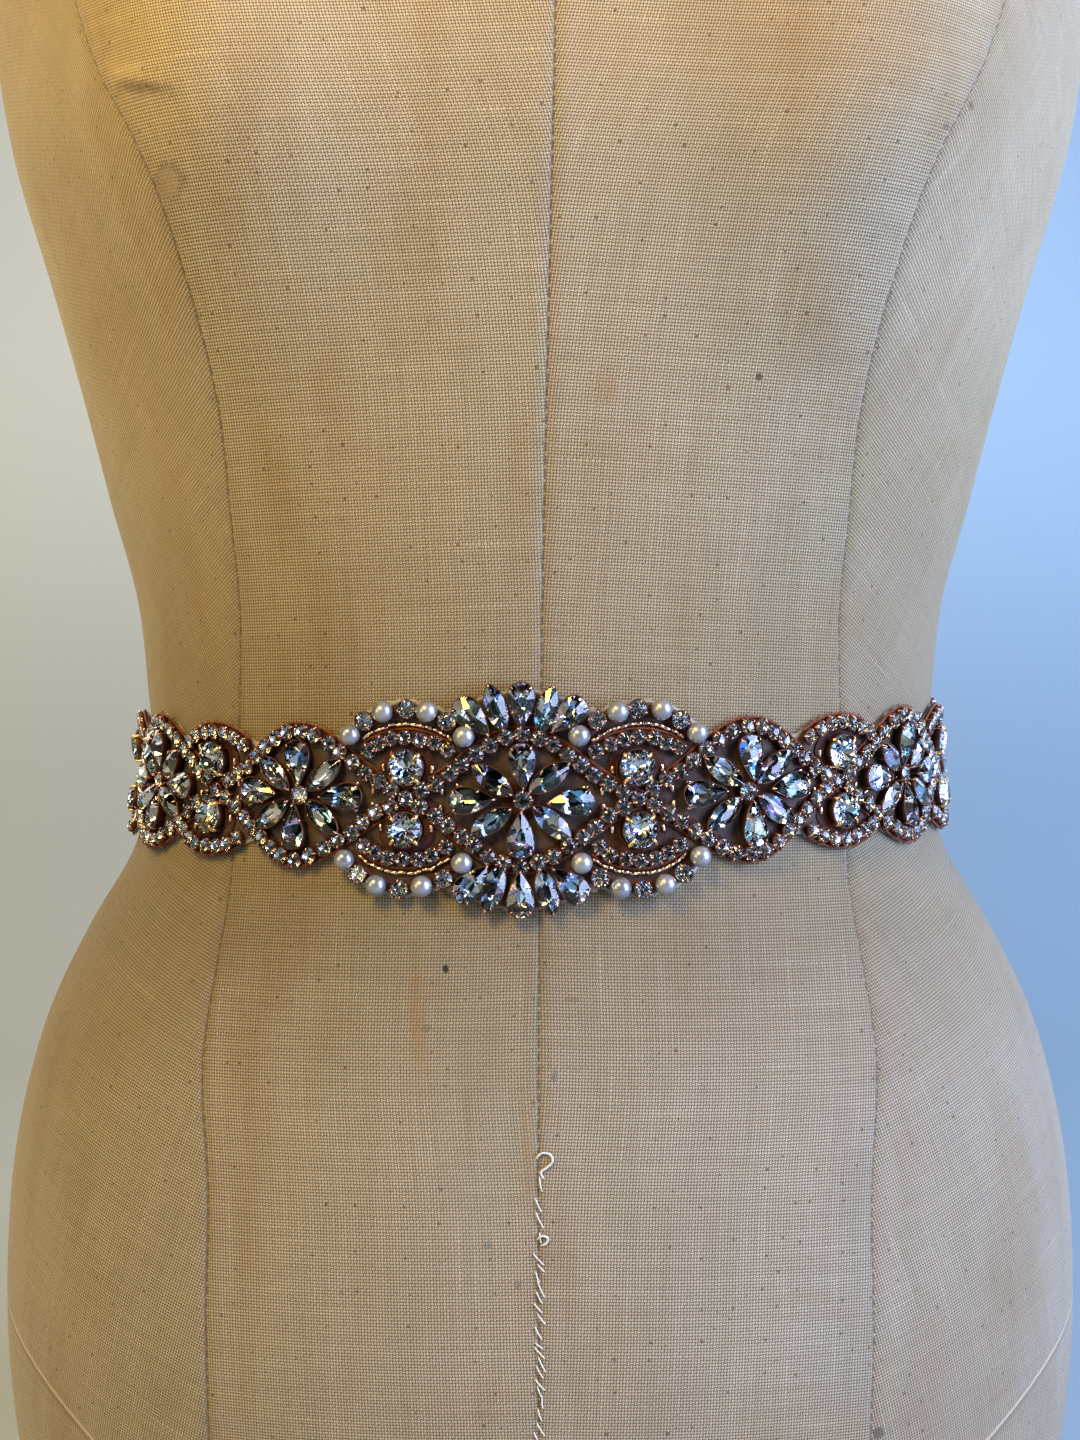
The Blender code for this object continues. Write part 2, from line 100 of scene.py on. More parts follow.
# Meshes: a shape is (points, faces, map), the map left out where there is none;
# faces lists (corner indices, material number, smooth or not)
def makeMesh(name, parts, materials):
    points = [np.reshape(part[0], (-1, 3)) for part in parts]
    firsts = np.cumsum([0] + [len(some) for some in points[:-1]])
    corners, numbers, smooth = [], [], []
    for first, part in zip(firsts, parts):
        for indices, number, isSmooth in part[1]:
            corners += (indices + first).tolist()
            numbers += [number] * len(indices)
            smooth += [isSmooth] * len(indices)
    mesh = bpy.data.meshes.new(name)
    mesh.from_pydata(np.concatenate(points).tolist(), [], corners)
    mesh.polygons.foreach_set("material_index", numbers)
    mesh.polygons.foreach_set("use_smooth", smooth)
    for material in materials:
        mesh.materials.append(material)
    piece = bpy.data.objects.new(name, mesh)
    bpy.context.scene.collection.objects.link(piece)
    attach(piece, "root")
    if len(parts[0]) > 2:
        addMap(piece, "cloth", np.concatenate([part[2] for part in parts]))
    return piece


def addMap(piece, name, values):
    # a UV map in metres from one value pair for each point
    corner = np.zeros(len(piece.data.loops), int)
    piece.data.loops.foreach_get("vertex_index", corner)
    layer = piece.data.uv_layers.new(name=name)
    layer.uv.foreach_set("vector", values[corner].astype(np.float32).ravel())


def gridFaces(rows, columns, closed=False, looped=False, inwards=False):
    # quads over a grid of points kept row by row; closed joins the last column to the first, looped the rows
    row = np.arange(rows if looped else rows - 1)[:, None]
    column = np.arange(columns if closed else columns - 1)
    after, above = (column + 1) % columns, (row + 1) % rows * columns
    quads = joined(row * columns + column, row * columns + after, above + after, above + column)
    return quads[:, ::-1] if inwards else quads, 0, True


def endFan(ring, centre, smooth=True):
    # triangles from one ring of point numbers to a centre point
    return joined(ring, np.roll(ring, -1), centre), 0, smooth


def tubeFaces(rows, sides, inwards=False):
    # the skin of a tube kept ring by ring, with a flat face over each end
    first = np.arange(sides)[None]
    last = first + (rows - 1) * sides
    caps = (first, last[:, ::-1]) if inwards else (first[:, ::-1], last)
    return [gridFaces(rows, sides, closed=True, inwards=inwards)] + [(cap, 0, True) for cap in caps]


def tube(points, reference, radius, sides):
    # rings across a path in space, each turned from a reference direction
    side = unit(np.cross(heading(points), reference))
    other = np.cross(side, heading(points))
    turn = turns(sides)
    return (points[:, None] + side[:, None] * (radius * np.cos(turn))[..., None]
            + other[:, None] * (radius * np.sin(turn))[..., None])


# The form's surface, repeated from the solids
form = {
    "levels": (  # height, half width, depth in front, depth behind
        (0.000, 0.1560, 0.1040, 0.1180), (0.060, 0.1690, 0.1110, 0.1250), (0.110, 0.1705, 0.1120, 0.1210),
        (0.159, 0.1645, 0.1080, 0.1100), (0.190, 0.1550, 0.1030, 0.1000), (0.215, 0.1425, 0.0970, 0.0920),
        (0.238, 0.1290, 0.0925, 0.0860), (0.262, 0.1225, 0.0910, 0.0840), (0.290, 0.1240, 0.0910, 0.0845),
        (0.315, 0.1265, 0.0930, 0.0870), (0.346, 0.1345, 0.0970, 0.0910), (0.378, 0.1425, 0.1010, 0.0960),
        (0.409, 0.1508, 0.1040, 0.1010), (0.455, 0.1635, 0.1070, 0.1060), (0.500, 0.1690, 0.1020, 0.1090),
        (0.545, 0.1675, 0.0920, 0.1080), (0.585, 0.1630, 0.0780, 0.0980), (0.618, 0.1420, 0.0660, 0.0840),
        (0.642, 0.1000, 0.0590, 0.0700), (0.660, 0.0660, 0.0550, 0.0590), (0.682, 0.0550, 0.0510, 0.0530),
        (0.720, 0.0520, 0.0490, 0.0510),
    ),
    "bustHeight": 0.452, "bustReach": 0.0343, "bustAngle": 0.62, "bustAngleSpread": 0.41,
    "bustHeightSpread": 0.062, "bridgeShare": 0.27, "bridgeAngle": 0.43,
    "rows": 340, "panelColumns": 24, "edgeRound": 0.0022,
}
# Seams of the cover: height and the angle round from centre front, one path for each
seams = {
    "centreFront": ((0.0, 0.000), (0.26, 0.000), (0.47, 0.024), (0.72, 0.03)),
    "princess": (
        (0.0, 0.58), (0.11, 0.58), (0.156, 0.60), (0.183, 0.65), (0.219, 0.71), (0.246, 0.78), (0.262, 0.80),
        (0.290, 0.77), (0.328, 0.73), (0.372, 0.685), (0.402, 0.69), (0.430, 0.715), (0.467, 0.82),
        (0.52, 0.92), (0.60, 0.90), (0.66, 0.80), (0.72, 0.78),
    ),
    "side": ((0.0, 1.60), (0.26, 1.62), (0.45, 1.60), (0.72, 1.60)),
    "back": ((0.0, 2.52), (0.16, 2.46), (0.262, 2.36), (0.40, 2.44), (0.58, 2.50), (0.72, 2.42)),
    "grooveDepth": 0.00028, "grooveWidth": 0.00050, "pucker": 0.00016, "puckerWidth": 0.0045,
    "allowanceRise": 0.00022, "allowanceStart": 0.0009, "allowanceWidth": 0.0062,
    "grain": (  # turn of each panel's threads above and below the waist, in degrees, from centre front round
        (3, 2), (34, -17), (-28, 14), (6, -5), (-6, 5), (28, -14), (-34, 17), (-2, -2),
    ),
    # a curved seam crosses each side low down: highest at this angle, falling by the square
    "lowAngle": 1.55, "lowHeight": 0.0985, "lowFall": 0.058, "lowStart": 0.62,
    "creases": (  # angle and height of the middle, half length, half width, depth, slope in degrees
        (-0.71, 0.4520, 0.0150, 0.0036, -0.0010, -12), (0.66, 0.4620, 0.0170, 0.0042, 0.0007, 10),
        (-0.30, 0.5050, 0.0230, 0.0050, 0.0006, 72), (2.75, 0.3150, 0.0260, 0.0050, 0.0009, -8),
        (-2.60, 0.3060, 0.0220, 0.0045, 0.0008, 11), (3.02, 0.2060, 0.0300, 0.0050, 0.0008, 6),
    ),
}


def formPoint(angle, height):
    # half ellipses in front and behind, with two bust mounds and a bridge between them pushed out in front
    angle, height = np.broadcast_arrays(np.asarray(angle, float), np.asarray(height, float))
    levels = np.array(form["levels"]).T
    halfWidth, front, behind = (smoothTable(levels[0], levels[i], height) for i in (1, 2, 3))
    depth = np.where(np.cos(angle) > 0, front, behind)
    mound = form["bustReach"] * bell(height - form["bustHeight"], form["bustHeightSpread"])
    mounds = sum(bell(angle - s * form["bustAngle"], form["bustAngleSpread"]) for s in (-1, 1))
    inside = np.clip(np.abs(angle) / form["bridgeAngle"], 0, 1)
    mounds = mounds + form["bridgeShare"] * np.cos(math.pi / 2 * inside) ** 2
    return np.stack([halfWidth * np.sin(angle), -depth * np.cos(angle) - mound * mounds, height], axis=-1)


def formNormal(angle, height, small=1e-4):
    around = formPoint(angle + small, height) - formPoint(angle - small, height)
    up = formPoint(angle, height + small) - formPoint(angle, height - small)
    return unit(np.cross(around, up))


# The belt's own sizes, repeated from the solids
belt = {
    "height": 0.262, "shift": -0.005, "sideLift": 0.003, "sideLiftStart": 0.015, "sideLiftEnd": 0.090,
    "seamGap": 0.0006, "wall": 0.0010, "halfLength": 0.217, "ribbonHalfWidth": 0.011,
    "closureHalfGap": 0.0025,
    "flowers": (0.0, 0.064, 0.124, 0.184), "lastPitch": 0.060, "pairs": (0.0318, 0.0950, 0.1550),
    "pairSpread": 0.0086, "uprightPetal": 0.0095, "sidewaysPetal": 0.0132, "slantedPetal": 0.0099,
    "slant": math.radians(37),
    "fan": (("pear", 0.0, 0.0264, 90), ("navette", 0.0070, 0.0252, 72), ("pear", 0.0127, 0.0234, 46)),
    "strandCrest": 0.0182, "strandFlatten": 0.12, "arcRadius": 0.0190, "arcCrest": 0.0172, "arcStones": 7,
    "arcStep": math.radians(12.2), "pearlArcRadius": 0.0205, "pearlArcCrest": 0.0254, "pearlArcStep": 0.300,
    "pearlInset": 0.0004, "fanCentre": 0.0052, "fanRadius": 0.0290, "fanInset": 0.0060,
    "fanHalfWidth": 0.0205,
    "smallPitch": 0.0046, "crossingStep": 0.0048,
}
knots = (*belt["flowers"], belt["flowers"][-1] + belt["lastPitch"])
crossings = [(near + far) / 2 for near, far in zip(knots, knots[1:])]
waistAngles = np.linspace(-math.pi, math.pi, 1441)
waistLine = formPoint(waistAngles, belt["height"])
waistLine = waistLine + formNormal(waistAngles, belt["height"]) * (belt["seamGap"] + belt["wall"] / 2)
waistLengths = lengthsOf(waistLine)
halfWaist = waistLengths[-1] / 2
waistLengths -= halfWaist


def sideLift(length):
    # the belt rises smoothly towards +X and settles again behind
    rising = ease((length - belt["sideLiftStart"]) / (belt["sideLiftEnd"] - belt["sideLiftStart"]))
    return belt["sideLift"] * rising * np.clip((halfWaist - length) / (halfWaist - belt["halfLength"]), 0, 1)


def beltPoint(length, across, height):
    # a point of the form at this length round the waist, moved out by the gap and the height
    length, across, height = np.broadcast_arrays(*(np.asarray(x, float) for x in (length, across, height)))
    angle = np.interp(length, waistLengths, waistAngles)
    level = belt["height"] + across + sideLift(length)
    return formPoint(angle, level) + formNormal(angle, level) * (belt["seamGap"] + height)[..., None]


def bandPoint(u, v, lift=0.0):
    # the same, measured from the band's own middle and from the organza's outer face
    return beltPoint(np.asarray(u) + belt["shift"], v, belt["wall"] + np.asarray(lift))


def strand(u):
    # a flattened cosine with its crest or trough at each flower
    phase = math.pi * np.interp(abs(u), knots, range(len(knots)))
    flatten = belt["strandFlatten"]
    return belt["strandCrest"] * (np.cos(phase) + flatten * np.cos(3 * phase)) / (1 + flatten)


def hump(u, centre, crest, radius):
    # a circle's upper half, and nothing beyond its sides
    inside = np.clip(radius**2 - (u - centre) ** 2, 0, None)
    return np.where(inside > 0, crest - radius + np.sqrt(inside), 0.0)


def bandOutline(u, margin, sharpness):
    # half height of the cloth: a smooth maximum of the strands, arcs, pearl arc and fan, each with its margin
    u = abs(np.asarray(u, float))
    slope = (strand(u + 5e-4) - strand(u - 5e-4)) / 1e-3
    edges = [abs(strand(u)) + margin * np.sqrt(1 + slope**2), np.full_like(u, belt["ribbonHalfWidth"])]
    edges += [hump(u, pair, belt["arcCrest"] + margin, belt["arcRadius"] + margin) for pair in belt["pairs"]]
    reach = margin - belt["pearlInset"]
    edges.append(hump(u, belt["pairs"][0], belt["pearlArcCrest"] + reach, belt["pearlArcRadius"] + reach))
    crest = belt["fanCentre"] + belt["fanRadius"] - belt["fanInset"] + margin
    edges.append(np.where(u < belt["fanHalfWidth"], hump(u, 0.0, crest, belt["fanRadius"]), 0.0))
    return crest * sum((edge / crest) ** sharpness for edge in edges) ** (1 / sharpness)


# Shaders: a wire is an output socket, and arithmetic on it adds Math nodes to its tree
class Wire:
    def __init__(self, socket):
        self.socket, self.tree = socket, socket.id_data

    def math(self, operation, other=0.0):
        return add(self.tree, "Math", {0: self, 1: other}, operation=operation)[0]

    def __add__(self, other):
        return self.math("ADD", other)

    def __sub__(self, other):
        return self.math("SUBTRACT", other)

    def __mul__(self, other):
        return self.math("MULTIPLY", other)

    def __truediv__(self, other):
        return self.math("DIVIDE", other)

    def __pow__(self, other):
        return self.math("POWER", other)

    def __rsub__(self, other):
        return add(self.tree, "Math", {0: other, 1: self}, operation="SUBTRACT")[0]

    def clamped(self):
        self.socket.node.use_clamp = True
        return self

    def remap(self, low, high, toLow=0.0, toHigh=1.0):
        # a smooth step between low and high
        links = {"Value": self, "From Min": low, "From Max": high, "To Min": toLow, "To Max": toHigh}
        return add(self.tree, "MapRange", links, interpolation_type="SMOOTHSTEP")[0]

    def split(self):
        return add(self.tree, "SeparateXYZ", {0: self})


class Outputs:
    def __init__(self, node):
        self.node = node

    def __getitem__(self, label):
        return Wire(self.node.outputs[label])


def plug(node, links):
    # a wire or a plain value into each named input of a node
    for label, source in links.items():
        if isinstance(source, Wire):
            source.tree.links.new(source.socket, node.inputs[label])
        else:
            node.inputs[label].default_value = source
    return Outputs(node)


def add(tree, kind, links, **settings):
    # a node by its kind, or a node group, with a wire or a value for each input
    node = tree.nodes.new("ShaderNode" + (kind if isinstance(kind, str) else "Group"))
    if not isinstance(kind, str):
        node.node_tree = kind
    for name, value in settings.items():
        setattr(node, name, value)
    return plug(node, links)


def blend(factor, a, b, mode="MIX"):
    # from colour a to colour b
    tree = next(wire.tree for wire in (factor, a, b) if isinstance(wire, Wire))
    return add(tree, "Mix", {0: factor, 6: a, 7: b}, data_type="RGBA", blend_type=mode)[2]


def between(factor, a, b):
    # from number a to number b
    return add(factor.tree, "Mix", {0: factor, 2: a, 3: b}, data_type="FLOAT")[0]


def noise(place, scale, detail, output="Fac"):
    return add(place.tree, "TexNoise", {"Vector": place, "Scale": scale, "Detail": detail})[output]


def bump(height, strength, distance):
    return add(height.tree, "Bump", {"Height": height, "Strength": strength, "Distance": distance})[0]


def colourRamp(value, stops, interpolation="LINEAR"):
    node = add(value.tree, "ValToRGB", {0: value}).node
    node.color_ramp.interpolation = interpolation
    elements = node.color_ramp.elements
    for i, (share, tint) in enumerate(stops):
        stop = elements[i] if i < 2 else elements.new(share)
        stop.position, stop.color = share, (*tint, 1)
    return Wire(node.outputs[0])


def mapOf(tree, name):
    return add(tree, "UVMap", {}, uv_map=name)[0]


def objectPlace(tree):
    return add(tree, "TexCoord", {})["Object"]


def newGroup(name, defaults, build):
    # a node group with a Vector and these numbers as inputs; build gives its outputs by name
    tree = bpy.data.node_groups.new(name, "ShaderNodeTree")
    tree.interface.new_socket("Vector", in_out="INPUT", socket_type="NodeSocketVector")
    for label, value in defaults.items():
        tree.interface.new_socket(label, in_out="INPUT", socket_type="NodeSocketFloat").default_value = value
    found = build(tree, Outputs(tree.nodes.new("NodeGroupInput")))
    for label in found:
        tree.interface.new_socket(label, in_out="OUTPUT", socket_type="NodeSocketFloat")
    plug(tree.nodes.new("NodeGroupOutput"), found)
    return tree


def newMaterial(name, **values):
    material = bpy.data.materials.new(name)
    material.use_nodes = True
    return feed(material, **values), material.node_tree


def feed(material, **links):
    # wires or plain values for the Principled shader's inputs
    shader = material.node_tree.nodes["Principled BSDF"]
    plug(shader, {label.replace("_", " "): source for label, source in links.items()})
    return material


def plainWeave(tree, given):
    # a warp and a weft thread pass over and under each other in a chequer; each thread's width wanders
    place, sides = given["Vector"].split(), []
    for axis, pitch in enumerate(("Warp Pitch", "Weft Pitch")):
        count = place[axis] / given[pitch]
        whole = count.math("FLOOR")
        spot = add(tree, "CombineXYZ", {0: whole * 7.31, 1: place[1 - axis] * 26.0, 2: float(axis)})[0]
        wander = noise(spot, 1.0, 2.0)
        thick = wander.remap(0.66, 0.86)
        fromMiddle = ((count - whole) * 2.0 - 1.0).math("ABSOLUTE") / (thick * 0.4 + 0.92)
        sides.append((whole, (1.0 - fromMiddle**1.9).clamped(), thick, wander))
    (wholeA, warp, thickA, wanderA), (wholeB, weft, thickB, wanderB) = sides
    over = (wholeA + wholeB).math("PINGPONG", 1.0)
    under = 1.0 - over
    top = (warp * (over * 0.58 + 0.42)).math("MAXIMUM", weft * (under * 0.58 + 0.42))
    slub = (thickA * over).math("MAXIMUM", thickB * under) * given["Slub"]
    return {"Height": top + slub * 0.35, "Thread": between(over, wanderB, wanderA), "Slub Mask": slub}


def scattered(tree, given):
    # round flecks, each in its own cell, of which only a share is kept
    scale = given["Spacing"] ** -1.0
    cells = add(tree, "TexVoronoi", {"Vector": given["Vector"], "Scale": scale}, voronoi_dimensions="2D")
    chance = add(tree, "SeparateColor", {0: cells["Color"]})
    size = given["Size"] * scale * (chance[1] ** 2.5 * 1.5 + 0.30)
    fleck = cells["Distance"].remap(size * 0.4, size, 1.0, 0.0)
    return {"Mask": fleck * chance[0].math("LESS_THAN", given["Share"])}


def spunThread(tree, given):
    # fine spun plies: slanting waves over the piece's own map, each thread with its own tone
    place = given["Vector"].split()
    count = (place[0] + place[1] * given["Slant"]) / given["Pitch"]
    spot = add(tree, "CombineXYZ", {0: count.math("FLOOR") * 3.7, 1: place[1] * 300.0})[0]
    return {"Height": (count * math.pi).math("SINE").math("ABSOLUTE"), "Tone": noise(spot, 1.0, 1.0)}


def handledPolish(tree, given):
    # handled metal: a soft cloud of finger film and fine pits
    film = noise(given["Vector"], 260.0, 4.0).remap(0.35, 0.7)
    pits = noise(given["Vector"], 2600.0, 2.0)
    return {"Roughness": between(film, given["Low"], given["High"]), "Height": pits, "Film": film}


weave = newGroup("plainWeave", {"Warp Pitch": 0.00085, "Weft Pitch": 0.00085, "Slub": 0.5}, plainWeave)
flecks = newGroup("flecks", {"Spacing": 0.008, "Size": 0.0006, "Share": 0.3}, scattered)
twist = newGroup("spunThread", {"Pitch": 0.0003, "Slant": 0.6}, spunThread)
polish = newGroup("handledPolish", {"Low": 0.18, "High": 0.34}, handledPolish)

linen = {
    "thread": (0.470, 0.365, 0.228, 1), "paleThread": (0.640, 0.520, 0.350, 1),
    "gap": (0.090, 0.058, 0.026, 1),
    "speck": (0.075, 0.030, 0.010, 1), "stain": (0.82, 0.72, 0.56, 1), "seamShade": (0.085, 0.060, 0.036, 1),
    "pitch": 0.00085, "stitchPitch": 0.0036,
    "clouds": (  # scale, detail, start, end, most
        (7.0, 5.0, 0.46, 0.72, 0.75), (38.0, 4.0, 0.56, 0.80, 0.35),
    ),
    "flecks": ((0.0046, 0.00038, 0.40, 0.72), (0.018, 0.00050, 0.34, 0.70)),  # spacing, size, share, strength
    "spots": (  # place on the front, reach across and up, slope in degrees, even share, strength, colour
        (-0.0968, 0.4266, 0.0049, 0.0056, 0, 0.70, 0.42, (0.080, 0.058, 0.034, 1)),
        (-0.0974, 0.4260, 0.0045, 0.0051, 0, 0.55, 0.74, (0.390, 0.300, 0.190, 1)),
        # the next two spots lie on the crease at the left bust: a painted shade along the fold and a painted
        # highlight above it
        (-0.1025, 0.4493, 0.0135, 0.0026, -12, 0.00, 0.66, (0.085, 0.062, 0.036, 1)),
        (-0.1070, 0.4545, 0.0080, 0.0030, -8, 0.10, 0.30, (0.620, 0.500, 0.320, 1)),
        (-0.0260, 0.2155, 0.0011, 0.0014, 0, 0.55, 0.95, (0.012, 0.009, 0.006, 1)),
        (0.0590, 0.3770, 0.0012, 0.0012, 0, 0.55, 0.80, (0.060, 0.024, 0.010, 1)),
        (0.0506, 0.3742, 0.0010, 0.0009, 0, 0.55, 0.60, (0.110, 0.050, 0.018, 1)),
        (0.0173, 0.3737, 0.0060, 0.0060, 0, 0.05, 0.40, (0.330, 0.160, 0.070, 1)),
        (0.1135, 0.4470, 0.0014, 0.0014, 0, 0.45, 0.70, (0.150, 0.060, 0.015, 1)),
        (0.1060, 0.4405, 0.0014, 0.0012, 0, 0.45, 0.60, (0.150, 0.060, 0.015, 1)),
        (0.0950, 0.0835, 0.0022, 0.0022, 0, 0.55, 0.65, (0.060, 0.045, 0.030, 1)),
        (-0.0315, 0.1997, 0.0017, 0.0015, 0, 0.60, 0.50, (0.130, 0.145, 0.120, 1)),
        (-0.0142, 0.1424, 0.0019, 0.0014, 0, 0.60, 0.50, (0.130, 0.145, 0.120, 1)),
        (-0.0058, 0.1319, 0.0013, 0.0015, 0, 0.60, 0.50, (0.130, 0.145, 0.120, 1)),
        (0.0087, 0.2076, 0.0026, 0.0009, 0, 0.45, 0.50, (0.200, 0.130, 0.070, 1)),
        (0.0039, 0.1874, 0.0011, 0.0022, 0, 0.45, 0.60, (0.150, 0.130, 0.100, 1)),
        (-0.0337, 0.2030, 0.0044, 0.0280, 3, 0.10, 0.50, (0.330, 0.195, 0.065, 1)),
        (-0.0027, 0.1677, 0.0044, 0.0320, 0, 0.10, 0.42, (0.320, 0.190, 0.065, 1)),
        (-0.0185, 0.1700, 0.0160, 0.0620, 0, 0.30, 0.16, (0.300, 0.300, 0.215, 1)),
    ),
    "soil": (  # height as a share of the form's, and the tint multiplied into the cloth there: painted shade, darkest around the waist under the bust and the belt, with a painted cast of cool light below and warm light above
        (0.00, (0.74, 0.77, 0.83)), (0.16, (0.78, 0.81, 0.87)), (0.24, (0.72, 0.75, 0.80)),
        (0.31, (0.52, 0.52, 0.50)), (0.37, (0.57, 0.57, 0.51)), (0.44, (0.71, 0.70, 0.63)),
        (0.56, (0.93, 0.92, 0.84)), (0.70, (0.89, 0.88, 0.80)),
    ),
    "streaks": ((0.50, 0.72, 0.45, (0.80, 0.66, 0.46, 1)), (0.50, 0.32, 0.40, (0.84, 0.88, 0.82, 1))),
}


def wovenCloth(tree, cloth, pitch, slub):
    return add(tree, weave, {"Vector": cloth, "Warp Pitch": pitch, "Weft Pitch": pitch, "Slub": slub})


def linenMaterial():
    # woven tone, soiled clouds, brown flecks, and seams that show as a fine dark line of stitches
    material, tree = newMaterial("agedLinen", Roughness=0.88, Sheen_Weight=0.18, Sheen_Roughness=0.45)
    cloth, seam, low = (mapOf(tree, name) for name in ("cloth", "seam", "lowSeam"))
    place = objectPlace(tree)
    where = place.split()
    woven = wovenCloth(tree, cloth, linen["pitch"], 0.15)
    thread = blend(woven["Thread"].remap(0.20, 0.85), linen["thread"], linen["paleThread"])
    thread = blend(woven["Slub Mask"] * 0.8, thread, linen["paleThread"])
    # painted shade: the cloth darkens from each thread's crest into the gaps between threads
    colour = blend(woven["Height"].remap(0.26, 0.86), linen["gap"], thread)
    for scale, detail, start, end, most in linen["clouds"]:
        cloud = noise(place, scale, detail).remap(start, end, 0.0, most)
        colour = blend(cloud, colour, linen["stain"], "MULTIPLY")
    for spacing, size, share, most in linen["flecks"]:
        fleck = add(tree, flecks, {"Vector": cloth, "Spacing": spacing, "Size": size, "Share": share})
        colour = blend(fleck["Mask"] * most, colour, linen["speck"])
    front = where[1].math("LESS_THAN", 0.0)
    ragged = noise(place, 420.0, 3.0, "Color")
    ragged = add(tree, "VectorMath", {0: ragged, 1: (-0.5, -0.5, -0.5)})[0]
    for x, z, across, up, slope, even, strength, tint in linen["spots"]:
        spot = {0: place, 1: (x, 0, z), 2: (0, -math.radians(slope), 0), 3: (across, 1e6, up)}
        flat = add(tree, "Mapping", spot, vector_type="TEXTURE")[0]
        flat = add(tree, "VectorMath", {0: ragged, 1: (0.9, 0.9, 0.9), 2: flat}, operation="MULTIPLY_ADD")[0]
        away = add(tree, "VectorMath", {0: flat}, operation="LENGTH")["Value"]
        colour = blend(away.remap(even, 1.0, strength, 0.0) * front, colour, tint)
    # painted shade and painted light: the cloth's tone multiplied by a tint read from the height
    soil = colourRamp(where[2] / form["levels"][-1][0], linen["soil"])
    colour = blend(1.0, colour, soil, "MULTIPLY")
    drift = noise(add(tree, "Mapping", {0: place, 3: (42.0, 42.0, 6.0)})[0], 1.0, 3.0)
    for start, end, most, tint in linen["streaks"]:
        colour = blend(drift.remap(start, end, 0.0, most), colour, tint, "MULTIPLY")
    away = seam.split()[0].math("ABSOLUTE")
    part = (seam.split()[1] / linen["stitchPitch"]).math("FRACT")
    dash = part.math("PINGPONG", 0.5).remap(0.12, 0.18)
    line = away.remap(0.00014, 0.00054, 1.0, 0.0)
    middle = where[0].math("ABSOLUTE").remap(0.03, 0.05, 0.14, 0.0) * front
    shade = line * (dash * 0.80 + 0.14) * (middle + 0.70)
    soiled = away.remap(0.0006, 0.0060, 0.09, 0.0)
    colour = blend(shade.math("MAXIMUM", soiled), colour, linen["seamShade"])
    beyond = low.split()[0]
    # painted shade in a narrow band below the low seam's fold, and a painted highlight on the fold's ridge
    under = beyond.remap(-0.0026, -0.0006) * beyond.remap(-0.0006, 0.0, 1.0, 0.0)
    fold = beyond.remap(-0.0004, 0.0002) * beyond.remap(0.0004, 0.0013, 1.0, 0.0)
    colour = blend(under * 0.40, colour, linen["seamShade"])
    colour = blend(fold * 0.60, colour, linen["paleThread"])
    return feed(material, Base_Color=colour, Normal=bump(woven["Height"] + fold * 1.2, 0.6, 0.00022))


def organzaMaterial(name, colour, paler, density, pitch):
    # sheer cloth: crossing fine threads that let the light through between them
    material, tree = newMaterial(name, Roughness=0.48, Specular_IOR_Level=0.25, Sheen_Weight=0.10,
                                 Sheen_Roughness=0.3)
    cloth = mapOf(tree, "cloth")
    height = wovenCloth(tree, cloth, pitch, 0.3)["Height"]
    wide = noise(cloth, 210.0, 3.0).remap(0.35, 0.68)
    threads = height.remap(0.2, 0.9, density - 0.13, density + 0.13)
    return feed(material, Base_Color=blend(wide, colour, paler), Alpha=(threads + wide * 0.10).clamped(),
                Normal=bump(height, 0.35, pitch * 0.3))


def threadMaterial(name, dark, light, pitch, slant, roughness):
    # lustrous wound thread, painted lighter on each ply's crest and darker between the plies: a painted
    # highlight and a painted shade
    material, tree = newMaterial(name, Roughness=roughness, Sheen_Weight=0.05, Sheen_Roughness=0.25,
                                 Specular_IOR_Level=0.30)
    spun = add(tree, twist, {"Vector": mapOf(tree, "cloth"), "Pitch": pitch, "Slant": slant})
    lit = spun["Height"].remap(0.15, 0.9) * spun["Tone"].remap(0.25, 0.75, 0.35, 1.0)
    return feed(material, Base_Color=blend(lit, dark, light), Normal=bump(spun["Height"], 0.8, pitch * 0.35))


def metalMaterial(name, colour, worn, low, high):
    material, tree = newMaterial(name, Metallic=1.0)
    handled = add(tree, polish, {"Vector": objectPlace(tree), "Low": low, "High": high})
    return feed(material, Base_Color=blend(handled["Film"], colour, worn), Roughness=handled["Roughness"],
                Normal=bump(handled["Height"], 0.25, 0.00006))


def crystalMaterial():
    material, tree = newMaterial("cutCrystal", Transmission_Weight=1.0, IOR=1.57, Specular_IOR_Level=0.5)
    cloud = noise(objectPlace(tree), 420.0, 1.0)
    colour = blend(cloud.remap(0.35, 0.65), (0.93, 0.96, 1.0, 1), (1.0, 0.985, 0.955, 1))
    return feed(material, Base_Color=colour, Roughness=cloud.remap(0.55, 0.8, 0.0, 0.035))


def foilMaterial():
    # the silvered back of a stone: each facet with its own faint tint, and a few painted dark, a painted
    # reflection of dark surroundings
    material, tree = newMaterial("silveredFoil", Metallic=1.0)
    facet = add(tree, "Attribute", {}, attribute_name="facet")["Fac"]
    tints = (
        (0.00, (0.62, 0.65, 0.67)), (0.26, (0.42, 0.64, 0.94)), (0.42, (0.86, 0.84, 0.80)),
        # the near black tint is a painted reflection of dark surroundings
        (0.55, (0.09, 0.10, 0.11)), (0.69, (0.74, 0.60, 0.88)), (0.77, (0.92, 0.74, 0.38)),
        (0.80, (0.52, 0.56, 0.54)), (0.92, (0.46, 0.74, 0.78)),
    )
    handled = add(tree, polish, {"Vector": objectPlace(tree), "Low": 0.02, "High": 0.07})
    return feed(material, Base_Color=colourRamp(facet, tints, "CONSTANT"), Roughness=handled["Roughness"])


